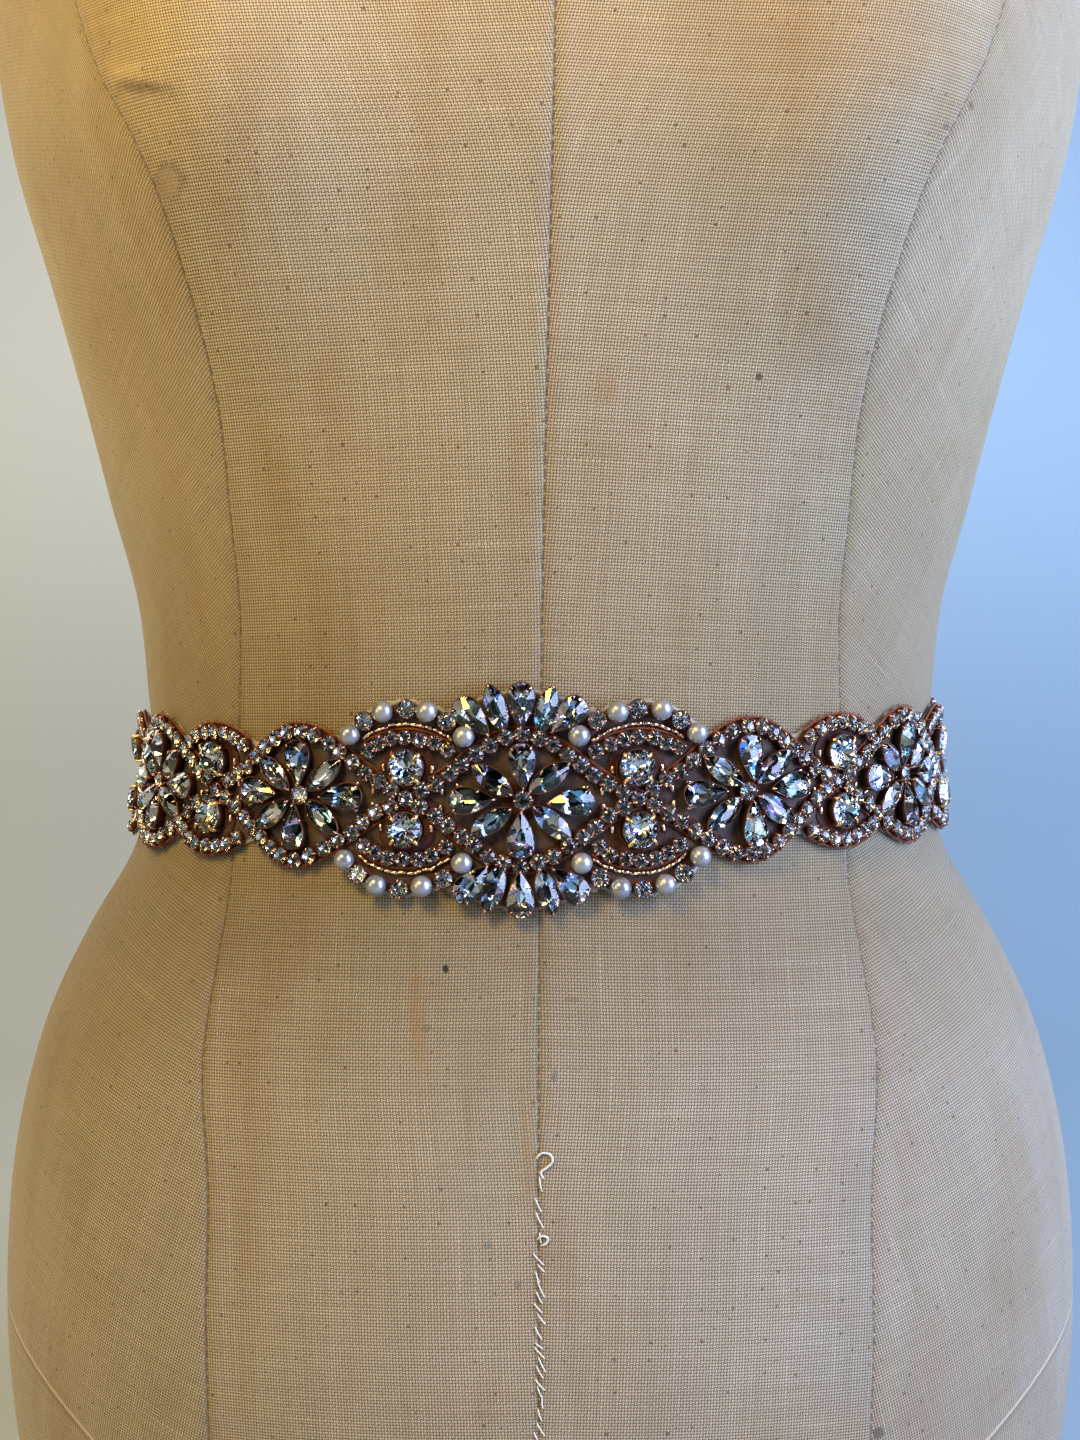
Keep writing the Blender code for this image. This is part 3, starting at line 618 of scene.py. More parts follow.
def pearlMaterial():
    # nacre: ivory under a clear lustrous coat, greyer and rosier in soft clouds, with a painted shade towards
    # the rim
    material, tree = newMaterial("nacre", Metallic=0.55, Coat_Weight=1.0, Coat_Roughness=0.06, Coat_IOR=1.6)
    cloud = noise(objectPlace(tree), 190.0, 2.0)
    colour = blend(cloud.remap(0.36, 0.66), (0.28, 0.30, 0.335, 1), (0.37, 0.375, 0.385, 1))
    # painted shade: the rim darkens as the surface turns away from the view
    rim = add(tree, "LayerWeight", {"Blend": 0.35})["Facing"]
    return feed(material, Base_Color=blend(rim * 0.8, colour, (0.14, 0.13, 0.13, 1)),
                Roughness=cloud.remap(0.3, 0.7, 0.26, 0.38))


def satinMaterial():
    # satin floats: fine ridges along the ribbon painted lighter on their crests, and a broad painted sheen
    # across it
    material, tree = newMaterial("champagneSatin", Sheen_Weight=0.4, Sheen_Roughness=0.25, Anisotropic=0.5)
    cloth = mapOf(tree, "cloth")
    turned = add(tree, "Mapping", {0: cloth, 2: (0, 0, math.pi / 2)})[0]
    spun = add(tree, twist, {"Vector": turned, "Pitch": 0.00022, "Slant": 0.0})
    lit = spun["Height"].remap(0.0, 0.8, 0.75, 1.0) * noise(cloth, 45.0, 3.0).remap(0.3, 0.7, 0.82, 1.0)
    return feed(material, Base_Color=blend(lit, (0.36, 0.22, 0.17, 1), (0.70, 0.52, 0.44, 1)),
                Roughness=spun["Tone"].remap(0.3, 0.7, 0.27, 0.40),
                Normal=bump(spun["Height"], 0.35, 0.00005))


coatings = {
    "organza": organzaMaterial(
        "brownOrganza", (0.040, 0.019, 0.011, 1), (0.088, 0.052, 0.036, 1), 0.68, 0.00030),
    "pale": organzaMaterial(
        "paleOrganza", (0.60, 0.56, 0.50, 1), (0.74, 0.70, 0.66, 1), 0.42, 0.00034),
    "crystal": crystalMaterial(), "foil": foilMaterial(), "pearl": pearlMaterial(), "satin": satinMaterial(),
}
for key, name, dark, light, pitch, slant, roughness in (
    ("copperThread", "copperThread", (0.010, 0.0025, 0.0015, 1), (0.105, 0.023, 0.009, 1),
     0.00034, 0.5, 0.50),
    ("cordThread", "roseCord", (0.040, 0.008, 0.003, 1), (0.42, 0.100, 0.030, 1), 0.00026, 0.9, 0.42),
    ("ribbonThread", "ribbonThread", (0.30, 0.17, 0.12, 1), (0.80, 0.62, 0.52, 1), 0.00024, 0.8, 0.4),
    ("cottonThread", "cottonThread", (0.60, 0.56, 0.50, 1), (0.94, 0.93, 0.90, 1), 0.00030, 0.9, 0.7),
):
    coatings[key] = threadMaterial(name, dark, light, pitch, slant, roughness)
for key, name, colour, worn, low, high in (
    ("roseGold", "roseGoldPlate", (0.90, 0.50, 0.36, 1), (0.62, 0.30, 0.20, 1), 0.14, 0.34),
    ("yellowGold", "clawGold", (0.95, 0.64, 0.28, 1), (0.75, 0.42, 0.16, 1), 0.14, 0.30),
    ("bugleGold", "bugleGold", (0.92, 0.66, 0.47, 1), (0.70, 0.40, 0.24, 1), 0.12, 0.30),
    ("darkCup", "cupMetal", (0.17, 0.080, 0.052, 1), (0.075, 0.034, 0.022, 1), 0.48, 0.70),
):
    coatings[key] = metalMaterial(name, colour, worn, low, high)
print("materials made")


def makeForm():
    # eight panels between seams; columns crowd towards each seam so that its groove is real shape
    height = np.linspace(0, form["levels"][-1][0], form["rows"])
    names = ("centreFront", "princess", "side", "back")
    lines = [smoothTable(*np.array(seams[name]).T, height) for name in names]
    lines.append(np.full_like(height, math.pi))
    lines += [2 * math.pi - line for line in lines[3:0:-1]] + [lines[0] + 2 * math.pi]
    count = form["panelColumns"]
    share = 0.5 - 0.5 * np.cos(np.pi * np.arange(count) / count)
    angles = np.concatenate([a[:, None] + (b - a)[:, None] * share for a, b in zip(lines, lines[1:])], axis=1)
    wrapped = (angles + math.pi) % (2 * math.pi) - math.pi
    columns = angles.shape[1]
    level = np.broadcast_to(height[:, None], angles.shape)
    points, normals = formPoint(wrapped, level), formNormal(wrapped, level)
    lengths = np.linalg.norm(np.roll(points, -1, axis=1) - points, axis=2)
    run = np.cumsum(np.concatenate([np.zeros((len(height), 1)), lengths[:, :-1]], axis=1), axis=1)
    ends = np.concatenate([run[:, ::count], run[:, -1:] + lengths[:, -1:]], axis=1)
    panel = np.arange(columns) // count
    fromLeft, fromRight = run - ends[:, panel], ends[:, panel + 1] - run
    away = np.minimum(fromLeft, fromRight)
    sag = np.zeros_like(level)
    for angle, middleHeight, long, wide, deep, degrees in seams["creases"]:
        x, y = (wrapped - angle) * np.hypot(points[..., 0], points[..., 1]), level - middleHeight
        c, d = math.cos(math.radians(degrees)), math.sin(math.radians(degrees))
        sag -= deep * bell(x * c + y * d, long) * bell(y * c - x * d, wide)
    groove = -seams["grooveDepth"] * bell(away, seams["grooveWidth"])
    rise = (seams["allowanceRise"] * (1 - bell(away, seams["allowanceStart"]))
            * bell(away, seams["allowanceWidth"], 4))
    wobble = np.sin(level * 700 + panel * 2.1) * np.sin(level * 263 + panel * 1.3)
    pucker = seams["pucker"] * wobble * bell(away, seams["puckerWidth"])
    edge = np.clip(1 - np.minimum(level, height[-1] - level) / form["edgeRound"], 0, 1)
    turned = form["edgeRound"] * (np.sqrt(np.clip(1 - edge**2, 0, 1)) - 1)
    flat = (points + normals * (groove + rise + pucker + turned + sag)[..., None]).reshape(-1, 3)
    middle = (fromLeft - fromRight) / 2
    grain = np.radians(np.array(seams["grain"], float))[panel[None], (level < belt["height"]).astype(int)]
    clothMap = joined(middle * np.cos(grain) - level * np.sin(grain) + panel * 0.35,
                      middle * np.sin(grain) + level * np.cos(grain))
    fromTop = np.abs(wrapped) - seams["lowAngle"]
    lowAway = (level - seams["lowHeight"] + seams["lowFall"] * fromTop**2) / np.sqrt(1 + (0.9 * fromTop) ** 2)
    lowMap = joined(np.where(np.abs(wrapped) > seams["lowStart"], lowAway, 1.0), wrapped * 0.16)
    caps = np.array([[0, flat[:columns, 1].mean(), flat[0, 2]], [0, flat[-columns:, 1].mean(), flat[-1, 2]]])
    last, around = len(flat), np.arange(columns)
    faces = [gridFaces(len(height), columns, closed=True), endFan(around[::-1], last, False),
             endFan(around + last - columns, last + 1, False)]
    shape = np.concatenate([flat, caps]), faces, np.concatenate([clothMap, caps[:, :2]])
    piece = makeMesh("linenCover", [shape], [coatings["linen"]])
    for name, mapped in (("seam", joined(away, level)), ("lowSeam", lowMap)):
        addMap(piece, name, np.concatenate([mapped, [[0.05, 0.0], [0.05, 0.0]]]))
    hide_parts("dress_form")
    return piece


coatings["linen"] = linenMaterial()
linenCover = makeForm()
print("linen form made")

organza = {
    "pale": (0.0027, 9, -0.00055), "brown": (0.0019, 40, -0.0001),  # margin, sharpness, lift
    "fray": 0.00028, "step": 0.0009, "rows": 40, "crinkle": 0.00012, "edgeWave": 0.00025,
}


def makeOrganza(name, margin, sharpness, lift, material, below):
    # a grid stretched between the lower and the upper edge, with an uneven cut edge and soft crinkles
    count = round(2 * belt["halfLength"] / organza["step"]) + 1
    u = np.linspace(-belt["halfLength"], belt["halfLength"], count)[:, None]
    half = bandOutline(u, margin, sharpness)
    fray = organza["fray"] * (np.sin(u * 2900) * np.sin(u * 1270 + 1) + np.sin(u * 5300 + 2) * 0.5)
    t = np.linspace(-1, 1, organza["rows"])[None]
    v = t * (half + fray - organza["fray"])
    crinkle = organza["crinkle"] * np.sin(u * 410 + v * 330) * np.sin(v * 690 - u * 220 + 1.7)
    edge = organza["edgeWave"] * np.abs(t) ** 12 * np.sin(u * 900 + np.sign(t))
    points, faces = bandPoint(u, v, lift + crinkle + edge), gridFaces(count, organza["rows"], inwards=True)
    piece = makeMesh(name, [(points, [faces], joined(u, v))], [coatings[material]])
    area = float(np.sum((half[:-1] + half[1:])[:, 0] * np.diff(u[:, 0])))
    return piece


paleSheet = makeOrganza("organzaUnderlayer", *organza["pale"], "pale", linenCover)
brownSheet = makeOrganza("organzaGround", *organza["brown"], "organza", paleSheet)
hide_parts("jewelled_band")
print("organza made")

# Cut stones: sizes across, and heights above the organza
roundCut = {"corners": 8, "off": 0.0, "backMiddle": 0.50, "claws": (45, 135, 225, 315), "claw": "roseGold"}
cuts = {
    "pear": {
        "length": 0.0127, "width": 0.0078, "table": 0.42, "keel": 0.0016, "off": 0.0009,
        "tableTop": 0.0046, "girdleTop": 0.0031, "girdleFoot": 0.0029, "culet": 0.0004,
        "claws": (38, -38, 112, -112, 180), "clawWidth": 0.00060, "claw": "roseGold",
    },
    "navette": {
        "length": 0.0134, "width": 0.0060, "table": 0.40, "keel": 0.0024, "off": 0.0,
        "tableTop": 0.0042, "girdleTop": 0.0028, "girdleFoot": 0.0026, "culet": 0.0004,
        "claws": (0, 180, 62, -118), "clawWidth": 0.00058, "claw": "roseGold",
    },
    "chaton": dict(
        roundCut, length=0.0100, width=0.0100, table=0.52, middle=0.79, tableTop=0.0050, middleTop=0.00445,
        girdleTop=0.0032, girdleFoot=0.0029, backTop=0.0013, culet=0.0003, clawWidth=0.00125,
        claw="yellowGold",
    ),
    "round": dict(
        roundCut, length=0.0050, width=0.0050, table=0.52, middle=0.79, tableTop=0.0034, middleTop=0.00312,
        girdleTop=0.0024, girdleFoot=0.0022, backTop=0.0011, culet=0.0004, clawWidth=0.00065,
    ),
    "small": dict(
        roundCut, length=0.0043, width=0.0043, table=0.42, middle=0.74, tableTop=0.0029, middleTop=0.00262,
        girdleTop=0.0020, girdleFoot=0.00185, backTop=0.00102, culet=0.00018, clawWidth=0.00060,
    ),
}
cuts["tiny"] = dict(cuts["small"], length=0.0040, width=0.0040)


def girdle(kind, turn):
    # the stone's outline: a circle, a drop with its point at half a turn, or a boat with two points
    cut = cuts[kind]
    x, y = np.cos(turn) * cut["length"] / 2, np.sin(turn) * cut["width"] / 2
    if kind == "pear":
        y = y * ((1 + np.cos(turn)) / 2) ** 0.45 * 1.22
        x = x + 0.0004 * np.sin(turn) ** 2
    if kind == "navette":
        y = np.sign(y) * np.abs(np.sin(turn)) ** 1.5 * cut["width"] / 2
    return np.stack([x, y], axis=-1)


def girdleNormal(kind, turn):
    # square to the outline's chord over a small turn, pointing out
    step = girdle(kind, turn + 0.02) - girdle(kind, turn - 0.02)
    return unit(np.stack([step[..., 1], -step[..., 0]], axis=-1))


def atHeight(flat, z):
    return joined(flat[:, 0], flat[:, 1], z)


def cutRing(kind, turn, share, level):
    # the outline drawn in towards the stone's middle, at one of its heights
    centre = np.array([cuts[kind]["off"], 0.0])
    return atHeight(centre + (girdle(kind, turn) - centre) * share, cuts[kind][level])


def facets(crown, back):
    return [(faces, 0, False) for faces in crown] + [(faces, 1, False) for faces in back]


def stoneShape(kind):
    # brilliant cut: table, star, kite and girdle facets above; girdle facets and kites below to the culet
    cut = cuts[kind]
    n = cut["corners"]
    even, odd, both = turns(n), turns(n, 0.5), turns(2 * n)
    rings = ((even, cut["table"], "tableTop"), (odd, cut["middle"], "middleTop"), (both, 1.0, "girdleTop"),
             (both, 1.0, "girdleFoot"), (odd, cut["backMiddle"], "backTop"), (even[:1], 0.0, "culet"))
    points = np.concatenate([cutRing(kind, *ring) for ring in rings])
    a, b, c, d, e, f = 0, n, 2 * n, 4 * n, 6 * n, 7 * n
    i, j = np.arange(n), np.arange(2 * n)
    nextI, lastI, nextJ, ahead = (i + 1) % n, (i - 1) % n, (j + 1) % (2 * n), (2 * i + 2) % (2 * n)
    crown = [a + i[None], joined(a + i, b + i, a + nextI), joined(a + i, b + lastI, c + 2 * i, b + i),
             joined(b + i, c + 2 * i, c + 2 * i + 1), joined(b + i, c + 2 * i + 1, c + ahead),
             joined(c + j, d + j, d + nextJ, c + nextJ)]
    back = [joined(e + i, d + 2 * i + 1, d + 2 * i), joined(e + i, d + ahead, d + 2 * i + 1),
            joined(f, e + i, d + 2 * i, e + lastI)]
    return points, facets(crown, back)


def fancyShape(kind):
    # fancy cut: a small table, six broad crown facets, and six broad facets below that meet along a keel;
    # a broad facet is k narrow strips from its inner corner to the rim, so no sliver lies flat at the rim
    cut, n, k = cuts[kind], 6, 4
    m = n * k
    rim = girdle(kind, turns(m))
    keel = np.array([[cut["off"] + cut["keel"], 0.0], [cut["off"] - cut["keel"], 0.0]])
    table = cutRing(kind, turns(n), cut["table"], "tableTop")
    points = np.concatenate([table, atHeight(rim, cut["girdleTop"]), atHeight(rim, cut["girdleFoot"]),
                             atHeight(keel, cut["culet"])])
    i, j = np.arange(n), np.arange(m)
    nextI, nextJ = (i + 1) % n, (j + 1) % m
    fan = (i[:, None] * k + np.arange(-k // 2, k // 2 + 1)) % m
    start, end = fan[:, :-1], fan[:, 1:]
    c, d, f = n, n + m, n + 2 * m
    nearest = np.where(np.cos(turns(n)) > 0, f, f + 1)[:, None]
    ends = np.array([[f, f + 1, d + m // 4], [f + 1, f, d + 3 * m // 4]])
    crown = [i[None], joined(i, c + fan[:, -1], nextI), joined(c + j, d + j, d + nextJ, c + nextJ)]
    return points, (facets(crown, [ends]) + facets([joined(i[:, None], c + start, c + end)],
                                                   [joined(nearest, d + end, d + start)]))


def cupShape(kind, samples):
    # sheet metal cup: from a closed foot up the stone's side to a thin rim under the girdle
    turn = turns(samples)
    edge, out, top = girdle(kind, turn), girdleNormal(kind, turn), cuts[kind]["girdleFoot"]
    rings = (  # share of the girdle, distance beyond it, height
        (0.62, 0.0, 0.00012), (0.86, 0.0, 0.00022), (1.0, 0.00016, top * 0.62),
        (1.0, 0.00024, top * 0.93), (1.0, 0.00020, top + 0.00022), (1.0, 0.00004, top + 0.00026),
        (0.985, 0.0, top - 0.0002),
    )
    points = [atHeight(edge * share + out * reach, z) for share, reach, z in rings]
    points.append(np.array([[0.0, 0.0, 0.0001]]))
    foot = endFan(np.arange(samples)[::-1], len(rings) * samples)
    return np.concatenate(points), [gridFaces(len(rings), samples, closed=True), foot]


def clawShape(kind):
    # each claw: a half-round tab that climbs the cup and bends in over the stone's edge
    cut = cuts[kind]
    turn = np.radians(cut["claws"])
    base, out = girdle(kind, turn), girdleNormal(kind, turn)
    size, top, crown = cut["clawWidth"], cut["girdleTop"], cut["tableTop"] - cut["girdleTop"]
    path = np.array([  # distance out, height, width
        (0.10 * size, top * 0.30, 1.0), (0.46 * size, top * 0.62, 1.0),
        (0.50 * size, top + crown * 0.02, 0.98), (0.30 * size, top + crown * 0.40, 0.92),
        (-0.35 * size, top + crown * 0.66, 0.80),
        (-0.95 * size, top + crown * 0.80, 0.55), (-1.18 * size, top + crown * 0.74, 0.10),
    ])
    sides = 8
    if cut["length"] < 0.006:
        path, sides = path[[1, 3, 4, 6]], 5
    lead, side = heading(path[:, :2]), turns(sides)
    wide, thick = np.cos(side) * size * 0.5 * path[:, 2:], np.sin(side) * size * 0.26 * path[:, 2:]
    reach, rise = path[:, :1] - lead[:, 1:] * thick, path[:, 1:2] + lead[:, :1] * thick
    x, y, outX, outY = (value[:, None, None] for value in (*base.T, *out.T))
    points = joined(x + outX * reach - outY * wide, y + outY * reach + outX * wide, rise)
    each = len(path) * sides
    firsts = (np.arange(len(turn)) * each)[:, None, None]
    quads = gridFaces(len(path), sides, closed=True, inwards=True)[0]
    cap = np.arange(each - sides, each)[None, ::-1]
    return points, [((some + firsts).reshape(-1, some.shape[1]), 1, True) for some in (quads, cap)]


def placesOf(rows, wander=0.00012, sway=0.045, swing=0.03):
    # each row (u, v, turn) gets a little hand-set unevenness: place, turn, two tilts and size
    rows = np.array(rows, float).reshape(-1, 3)
    uneven = luck.normal(size=(len(rows), 6)) * (wander, wander, swing, sway, sway, 0.012)
    return np.pad(rows, ((0, 0), (0, 3))) + uneven + (0, 0, 0, 0, 0, 1)


def copies(shape, places):
    # tilt, turn and carry one shape to every place on the band
    points, groups = shape[:2]
    u, v, turn, tiltX, tiltY, size = (places[:, i, None] for i in range(6))
    x, y, z = (points[None, :, i] * size for i in range(3))
    x, y, z = x - tiltX * z, y - tiltY * z, z + tiltX * x + tiltY * y
    x, y = x * np.cos(turn) - y * np.sin(turn), x * np.sin(turn) + y * np.cos(turn)
    small = 2e-4
    here = bandPoint(u, v)
    along = unit(bandPoint(u + small, v) - here)
    out = unit(np.cross(along, bandPoint(u, v + small) - here))
    up = np.cross(out, along)
    carried = here + along * x[..., None] + up * y[..., None] + out * z[..., None]
    firsts = np.arange(len(places))[:, None, None] * len(points)
    moved = [((some + firsts).reshape(-1, some.shape[1]), number, smooth) for some, number, smooth in groups]
    return (carried, moved, *(np.tile(mapped, (len(places), 1)) for mapped in shape[2:]))


def bothSides(u):
    return (u, -u) if u else (u,)


def mirrored(u, v, angle):
    # the same place in the four quarters of the design, once on each axis
    found = {}
    for sideU, sideV in ((1, 1), (1, -1), (-1, 1), (-1, -1)):
        turned = math.atan2(sideV * math.sin(angle), sideU * math.cos(angle))
        found.setdefault((round(sideU * u, 7), round(sideV * v, 7)), (sideU * u, sideV * v, turned))
    return list(found.values())


def arcPlace(centre, crest, radius, turn):
    # a place on a circle's arc whose crest is above the centre
    return centre + radius * np.sin(turn), crest - radius * (1 - np.cos(turn))


def layOut():
    # where each kind of stone and pearl sits on the band, with the way its round end points
    rows = {kind: [] for kind in (*cuts, "pearl")}
    for centre in sorted(at for flower in belt["flowers"] for at in bothSides(flower)):
        rows["round"].append((centre, 0.0, 0.4))
        for sign in (1, -1):
            rows["pear"].append((centre, sign * belt["uprightPetal"], sign * math.pi / 2))
            rows["pear"].append((centre + sign * belt["sidewaysPetal"], 0.0, 0.0 if sign > 0 else math.pi))
            for mirror in (1, -1):
                turn = math.atan2(mirror * math.sin(belt["slant"]), sign * math.cos(belt["slant"]))
                reach = belt["slantedPetal"]
                rows["navette"].append((centre + reach * math.cos(turn), reach * math.sin(turn), turn))
    for pair in belt["pairs"]:
        rows["chaton"] += mirrored(pair, belt["pairSpread"], 0.0)
        for k in range(belt["arcStones"]):
            turn = (k - (belt["arcStones"] - 1) / 2) * belt["arcStep"]
            rows["tiny"] += mirrored(*arcPlace(pair, belt["arcCrest"], belt["arcRadius"], turn), 0.0)
    for kind, u, v, degrees in belt["fan"]:
        rows[kind] += mirrored(u, v, math.radians(degrees))
    arc = belt["pairs"][0], belt["pearlArcCrest"], belt["pearlArcRadius"]
    for k in range(-3, 4):
        rows["pearl" if k % 2 else "round"] += mirrored(*arcPlace(*arc, k * belt["pearlArcStep"]), 0.5)
    for crossing in crossings[:-1]:
        rows["small"] += [(crossing, 0.0, 0.3), (-crossing, 0.0, 0.3)]
    ends = [-u for u in crossings[::-1]] + crossings
    for start, end in zip(ends, ends[1:]):
        fine = np.linspace(start, end, 400)
        lengths = lengthsOf(joined(fine, abs(strand(fine))))
        room = lengths[-1] - 2 * belt["crossingStep"]
        at = belt["crossingStep"] + np.linspace(0, room, round(room / belt["smallPitch"]) + 1)
        for side in (1, -1):
            rows["small"] += [(u, side * abs(strand(u)), 0.0) for u in np.interp(at, lengths, fine)]
    return rows


def setStones():
    # each kind of stone as two pieces: the stones, with a tint for each facet, and their cups and claws
    rows = layOut()
    for kind, name in {"pear": "pearStones", "navette": "navetteStones", "chaton": "largeRoundStones",
                       "round": "roundStones", "small": "strandStones", "tiny": "arcStones"}.items():
        small, fancy = kind in ("small", "round", "tiny"), "keel" in cuts[kind]
        places = placesOf(rows[kind], *((0.00014, 0.085, 0.8) if small else (0.00018, 0.045, 0.04)))
        stones = copies((fancyShape if fancy else stoneShape)(kind), places)
        piece = makeMesh(name, [stones], [coatings["crystal"], coatings["foil"]])
        tint = luck.random_sample(len(piece.data.polygons))
        if fancy:  # the four strips of one broad facet share its tint
            strips = 24 * len(places)
            tint[-strips:] = np.repeat(tint[-strips::4], 4)
        if small:
            tint = np.where(luck.random_sample(len(tint)) < 0.6, 0.0, tint)
        layer = piece.data.attributes.new("facet", "FLOAT", "FACE")
        layer.data.foreach_set("value", tint.astype(np.float32))
        cup = cupShape(kind, {"small": 12, "tiny": 12, "round": 16}.get(kind, 28))
        makeMesh(name[:-6] + "Settings", [copies(cup, places), copies(clawShape(kind), places)],
                 [coatings["darkCup"], coatings[cuts[kind]["claw"]]])
    return rows


stoneRows = setStones()
print("stones set")

pearls = {"radius": 0.0030, "sink": 0.0026, "around": 28, "rows": 16}


def pearlShape():
    # a ball as rings between two poles, resting a little in its thread
    turn, around = turns(pearls["around"]), np.arange(pearls["around"])
    tall = np.pi * np.arange(1, pearls["rows"])[:, None] / pearls["rows"]
    rings = joined(np.sin(tall) * np.cos(turn), np.sin(tall) * np.sin(turn), -np.cos(tall))
    points = np.concatenate([rings, [[0, 0, -1.0], [0, 0, 1.0]]]) * pearls["radius"] + (0, 0, pearls["sink"])
    count = len(rings)
    return points, [gridFaces(len(tall), pearls["around"], closed=True), endFan(around[::-1], count),
                    endFan(around + count - pearls["around"], count + 1)]


pearlPlaces = placesOf(stoneRows["pearl"], 0.0001, 0.05, 1.0)
makeMesh("pearls", [copies(pearlShape(), pearlPlaces)], [coatings["pearl"]])
print("pearls set")

beads = {
    "length": 0.0020, "radius": 0.00058, "hole": 0.00026, "lift": 0.0007, "sides": 8,
    "arcCrest": 0.0209, "arcRadius": 0.0196, "arcHalf": 0.0128, "pitch": 1.06,
    "byPetals": ((0.0222, 0.0022, 1.35), (0.0172, 0.0036, 0.55)), "byPairs": (0.0070, 0.0083, 1.5),
}


def bugleShape():
    # a short tube: out along the side, round the rim and back through the hole, as one closed profile
    half, radius, hole = beads["length"] / 2, beads["radius"], beads["hole"]
    soft = radius * 0.22
    x, reach = np.array([(soft - half, radius), (half - soft, radius), (half, radius - soft), (half, hole),
                         (-half, hole), (-half, radius - soft)]).T
    turn = turns(beads["sides"])[:, None]
    points = joined(x, np.cos(turn) * reach, np.sin(turn) * reach + beads["lift"])
    return points, [gridFaces(beads["sides"], len(x), closed=True, looped=True)]


def setBeads():
    # bugles end to end round each arc between the pearls and the small stones, and short ones by the petals
    rows, radius = [], beads["arcRadius"]
    spread = math.asin(beads["arcHalf"] / radius)
    count = round(2 * spread * radius / (beads["length"] * beads["pitch"]))
    for k in range(count):
        turn = (k - (count - 1) / 2) * 2 * spread / count
        rows += mirrored(*arcPlace(belt["pairs"][0], beads["arcCrest"], radius, turn), -turn)
    for flower in belt["flowers"]:
        for u, v, angle in beads["byPetals"]:
            rows += [(at + m * u, w * v, m * w * angle)
                     for at in bothSides(flower) for m in (1, -1) for w in (1, -1)]
    u, v, angle = beads["byPairs"]
    for pair in belt["pairs"]:
        rows += mirrored(pair - u, v, angle) + mirrored(pair + u, v, angle)
    shape = copies(bugleShape(), placesOf(rows, 0.00012, 0.04, 0.10))
    makeMesh("bugleBeads", [shape], [coatings["bugleGold"]])


setBeads()
print("beads set")

trim = {
    "baseHalfWidth": 0.0024, "baseRise": 0.00060, "baseStep": 0.0006, "pearlBaseHalfWidth": 0.0017,
    "pearlBaseShift": -0.0011, "cordRadius": 0.00038, "cordTwist": 0.0013, "cordSwell": 0.24,
    "cordStep": 0.00030,
    "cordSides": 8, "cordOffset": 0.00228, "cordLift": 0.00032, "cordTip": 0.0006,
    "ringRadius": 0.00030, "ringSides": 6, "ringSamples": 44, "ringGap": 0.00052, "ringLift": 0.00050,
    "padRise": 0.00042, "padColumns": 40, "padRadii": ((0.0042, 0.0082), (0.0010, 0.0056)),
    "stitch": (0.0017, 0.00010, 0.00062),  # length, radius, height
    "stitchEvery": 0.00135, "stitchInset": 0.0003, "stitchLean": 0.45,
}


def offsetPath(path, away):
    # the path moved to its left
    return joined(*aside(path, heading(path), away))


def baseBand(path, halfWidth):
    # a low domed band of wound thread along a path: height falls off as a parabola from its middle
    path, run = evenPoints(path, trim["baseStep"])
    run, share = run[:, None], np.linspace(-1, 1, 7)
    ragged = 1 + 0.05 * np.sin(run * 2100) + 0.04 * np.sin(run * 5300 + 1)
    side = share * halfWidth * ragged
    grid = bandPoint(*aside(path, heading(path), side), trim["baseRise"] * (1 - share**2) + 0.00002)
    return grid, [gridFaces(len(path), 7, inwards=True)], joined(run, side)


def plied(path, along, run, radius, pitch, sides, lift, taper=1.0):
    # two plies: the radius swells twice round, and the swell turns as the cord runs along
    turn = turns(sides)
    reach = radius * (1 + trim["cordSwell"] * np.cos(2 * (turn - np.pi * run[:, None] / pitch))) * taper
    places = *aside(path, along, reach * np.cos(turn)), reach * np.sin(turn) + lift
    return places, joined(run[:, None], turn * radius)


def twistedCord(path):
    # a plied tube along an open path, drawn in to a blunt point at each end
    path, run = evenPoints(path, trim["cordStep"])
    taper = np.sqrt(np.clip(np.minimum(run, run[-1] - run) / trim["cordTip"], 0.02, 1))[:, None]
    places, mapped = plied(path, heading(path), run, trim["cordRadius"], trim["cordTwist"], trim["cordSides"],
                           trim["cordLift"], taper)
    return bandPoint(*places), tubeFaces(len(path), trim["cordSides"], inwards=True), mapped


def ringCord(kind):
    # the same plied tube, closed round a stone's outline, with a whole number of twists
    turn = turns(trim["ringSamples"], 0.5)
    path = girdle(kind, turn) + girdleNormal(kind, turn) * trim["ringGap"]
    run = lengthsOf(path)
    whole = run[-1] + np.linalg.norm(path[0] - path[-1])
    along = unit(np.roll(path, -1, axis=0) - np.roll(path, 1, axis=0))
    places, mapped = plied(path, along, run, trim["ringRadius"], whole / round(whole / trim["cordTwist"]),
                           trim["ringSides"], trim["ringLift"])
    faces = gridFaces(len(path), trim["ringSides"], closed=True, looped=True, inwards=True)
    return joined(*places), [faces], mapped


def threadPad(inner, outer):
    # a ring of wound thread: from its inner edge it domes up and falls to a ragged outer edge
    turn, share = turns(trim["padColumns"]), np.array([0.0, 0.35, 0.7, 0.9, 1.0])[:, None]
    ragged = 1 + 0.025 * np.sin(7 * turn + 1) + 0.02 * np.sin(13 * turn)
    radius = inner + (outer * ragged - inner) * share
    z = trim["padRise"] * (1 - (2 * share - 1) ** 4) + 0.00004
    faces = [gridFaces(len(share), len(turn), closed=True, inwards=True)]
    return joined(radius * np.cos(turn), radius * np.sin(turn), z), faces, joined(turn * outer, radius)


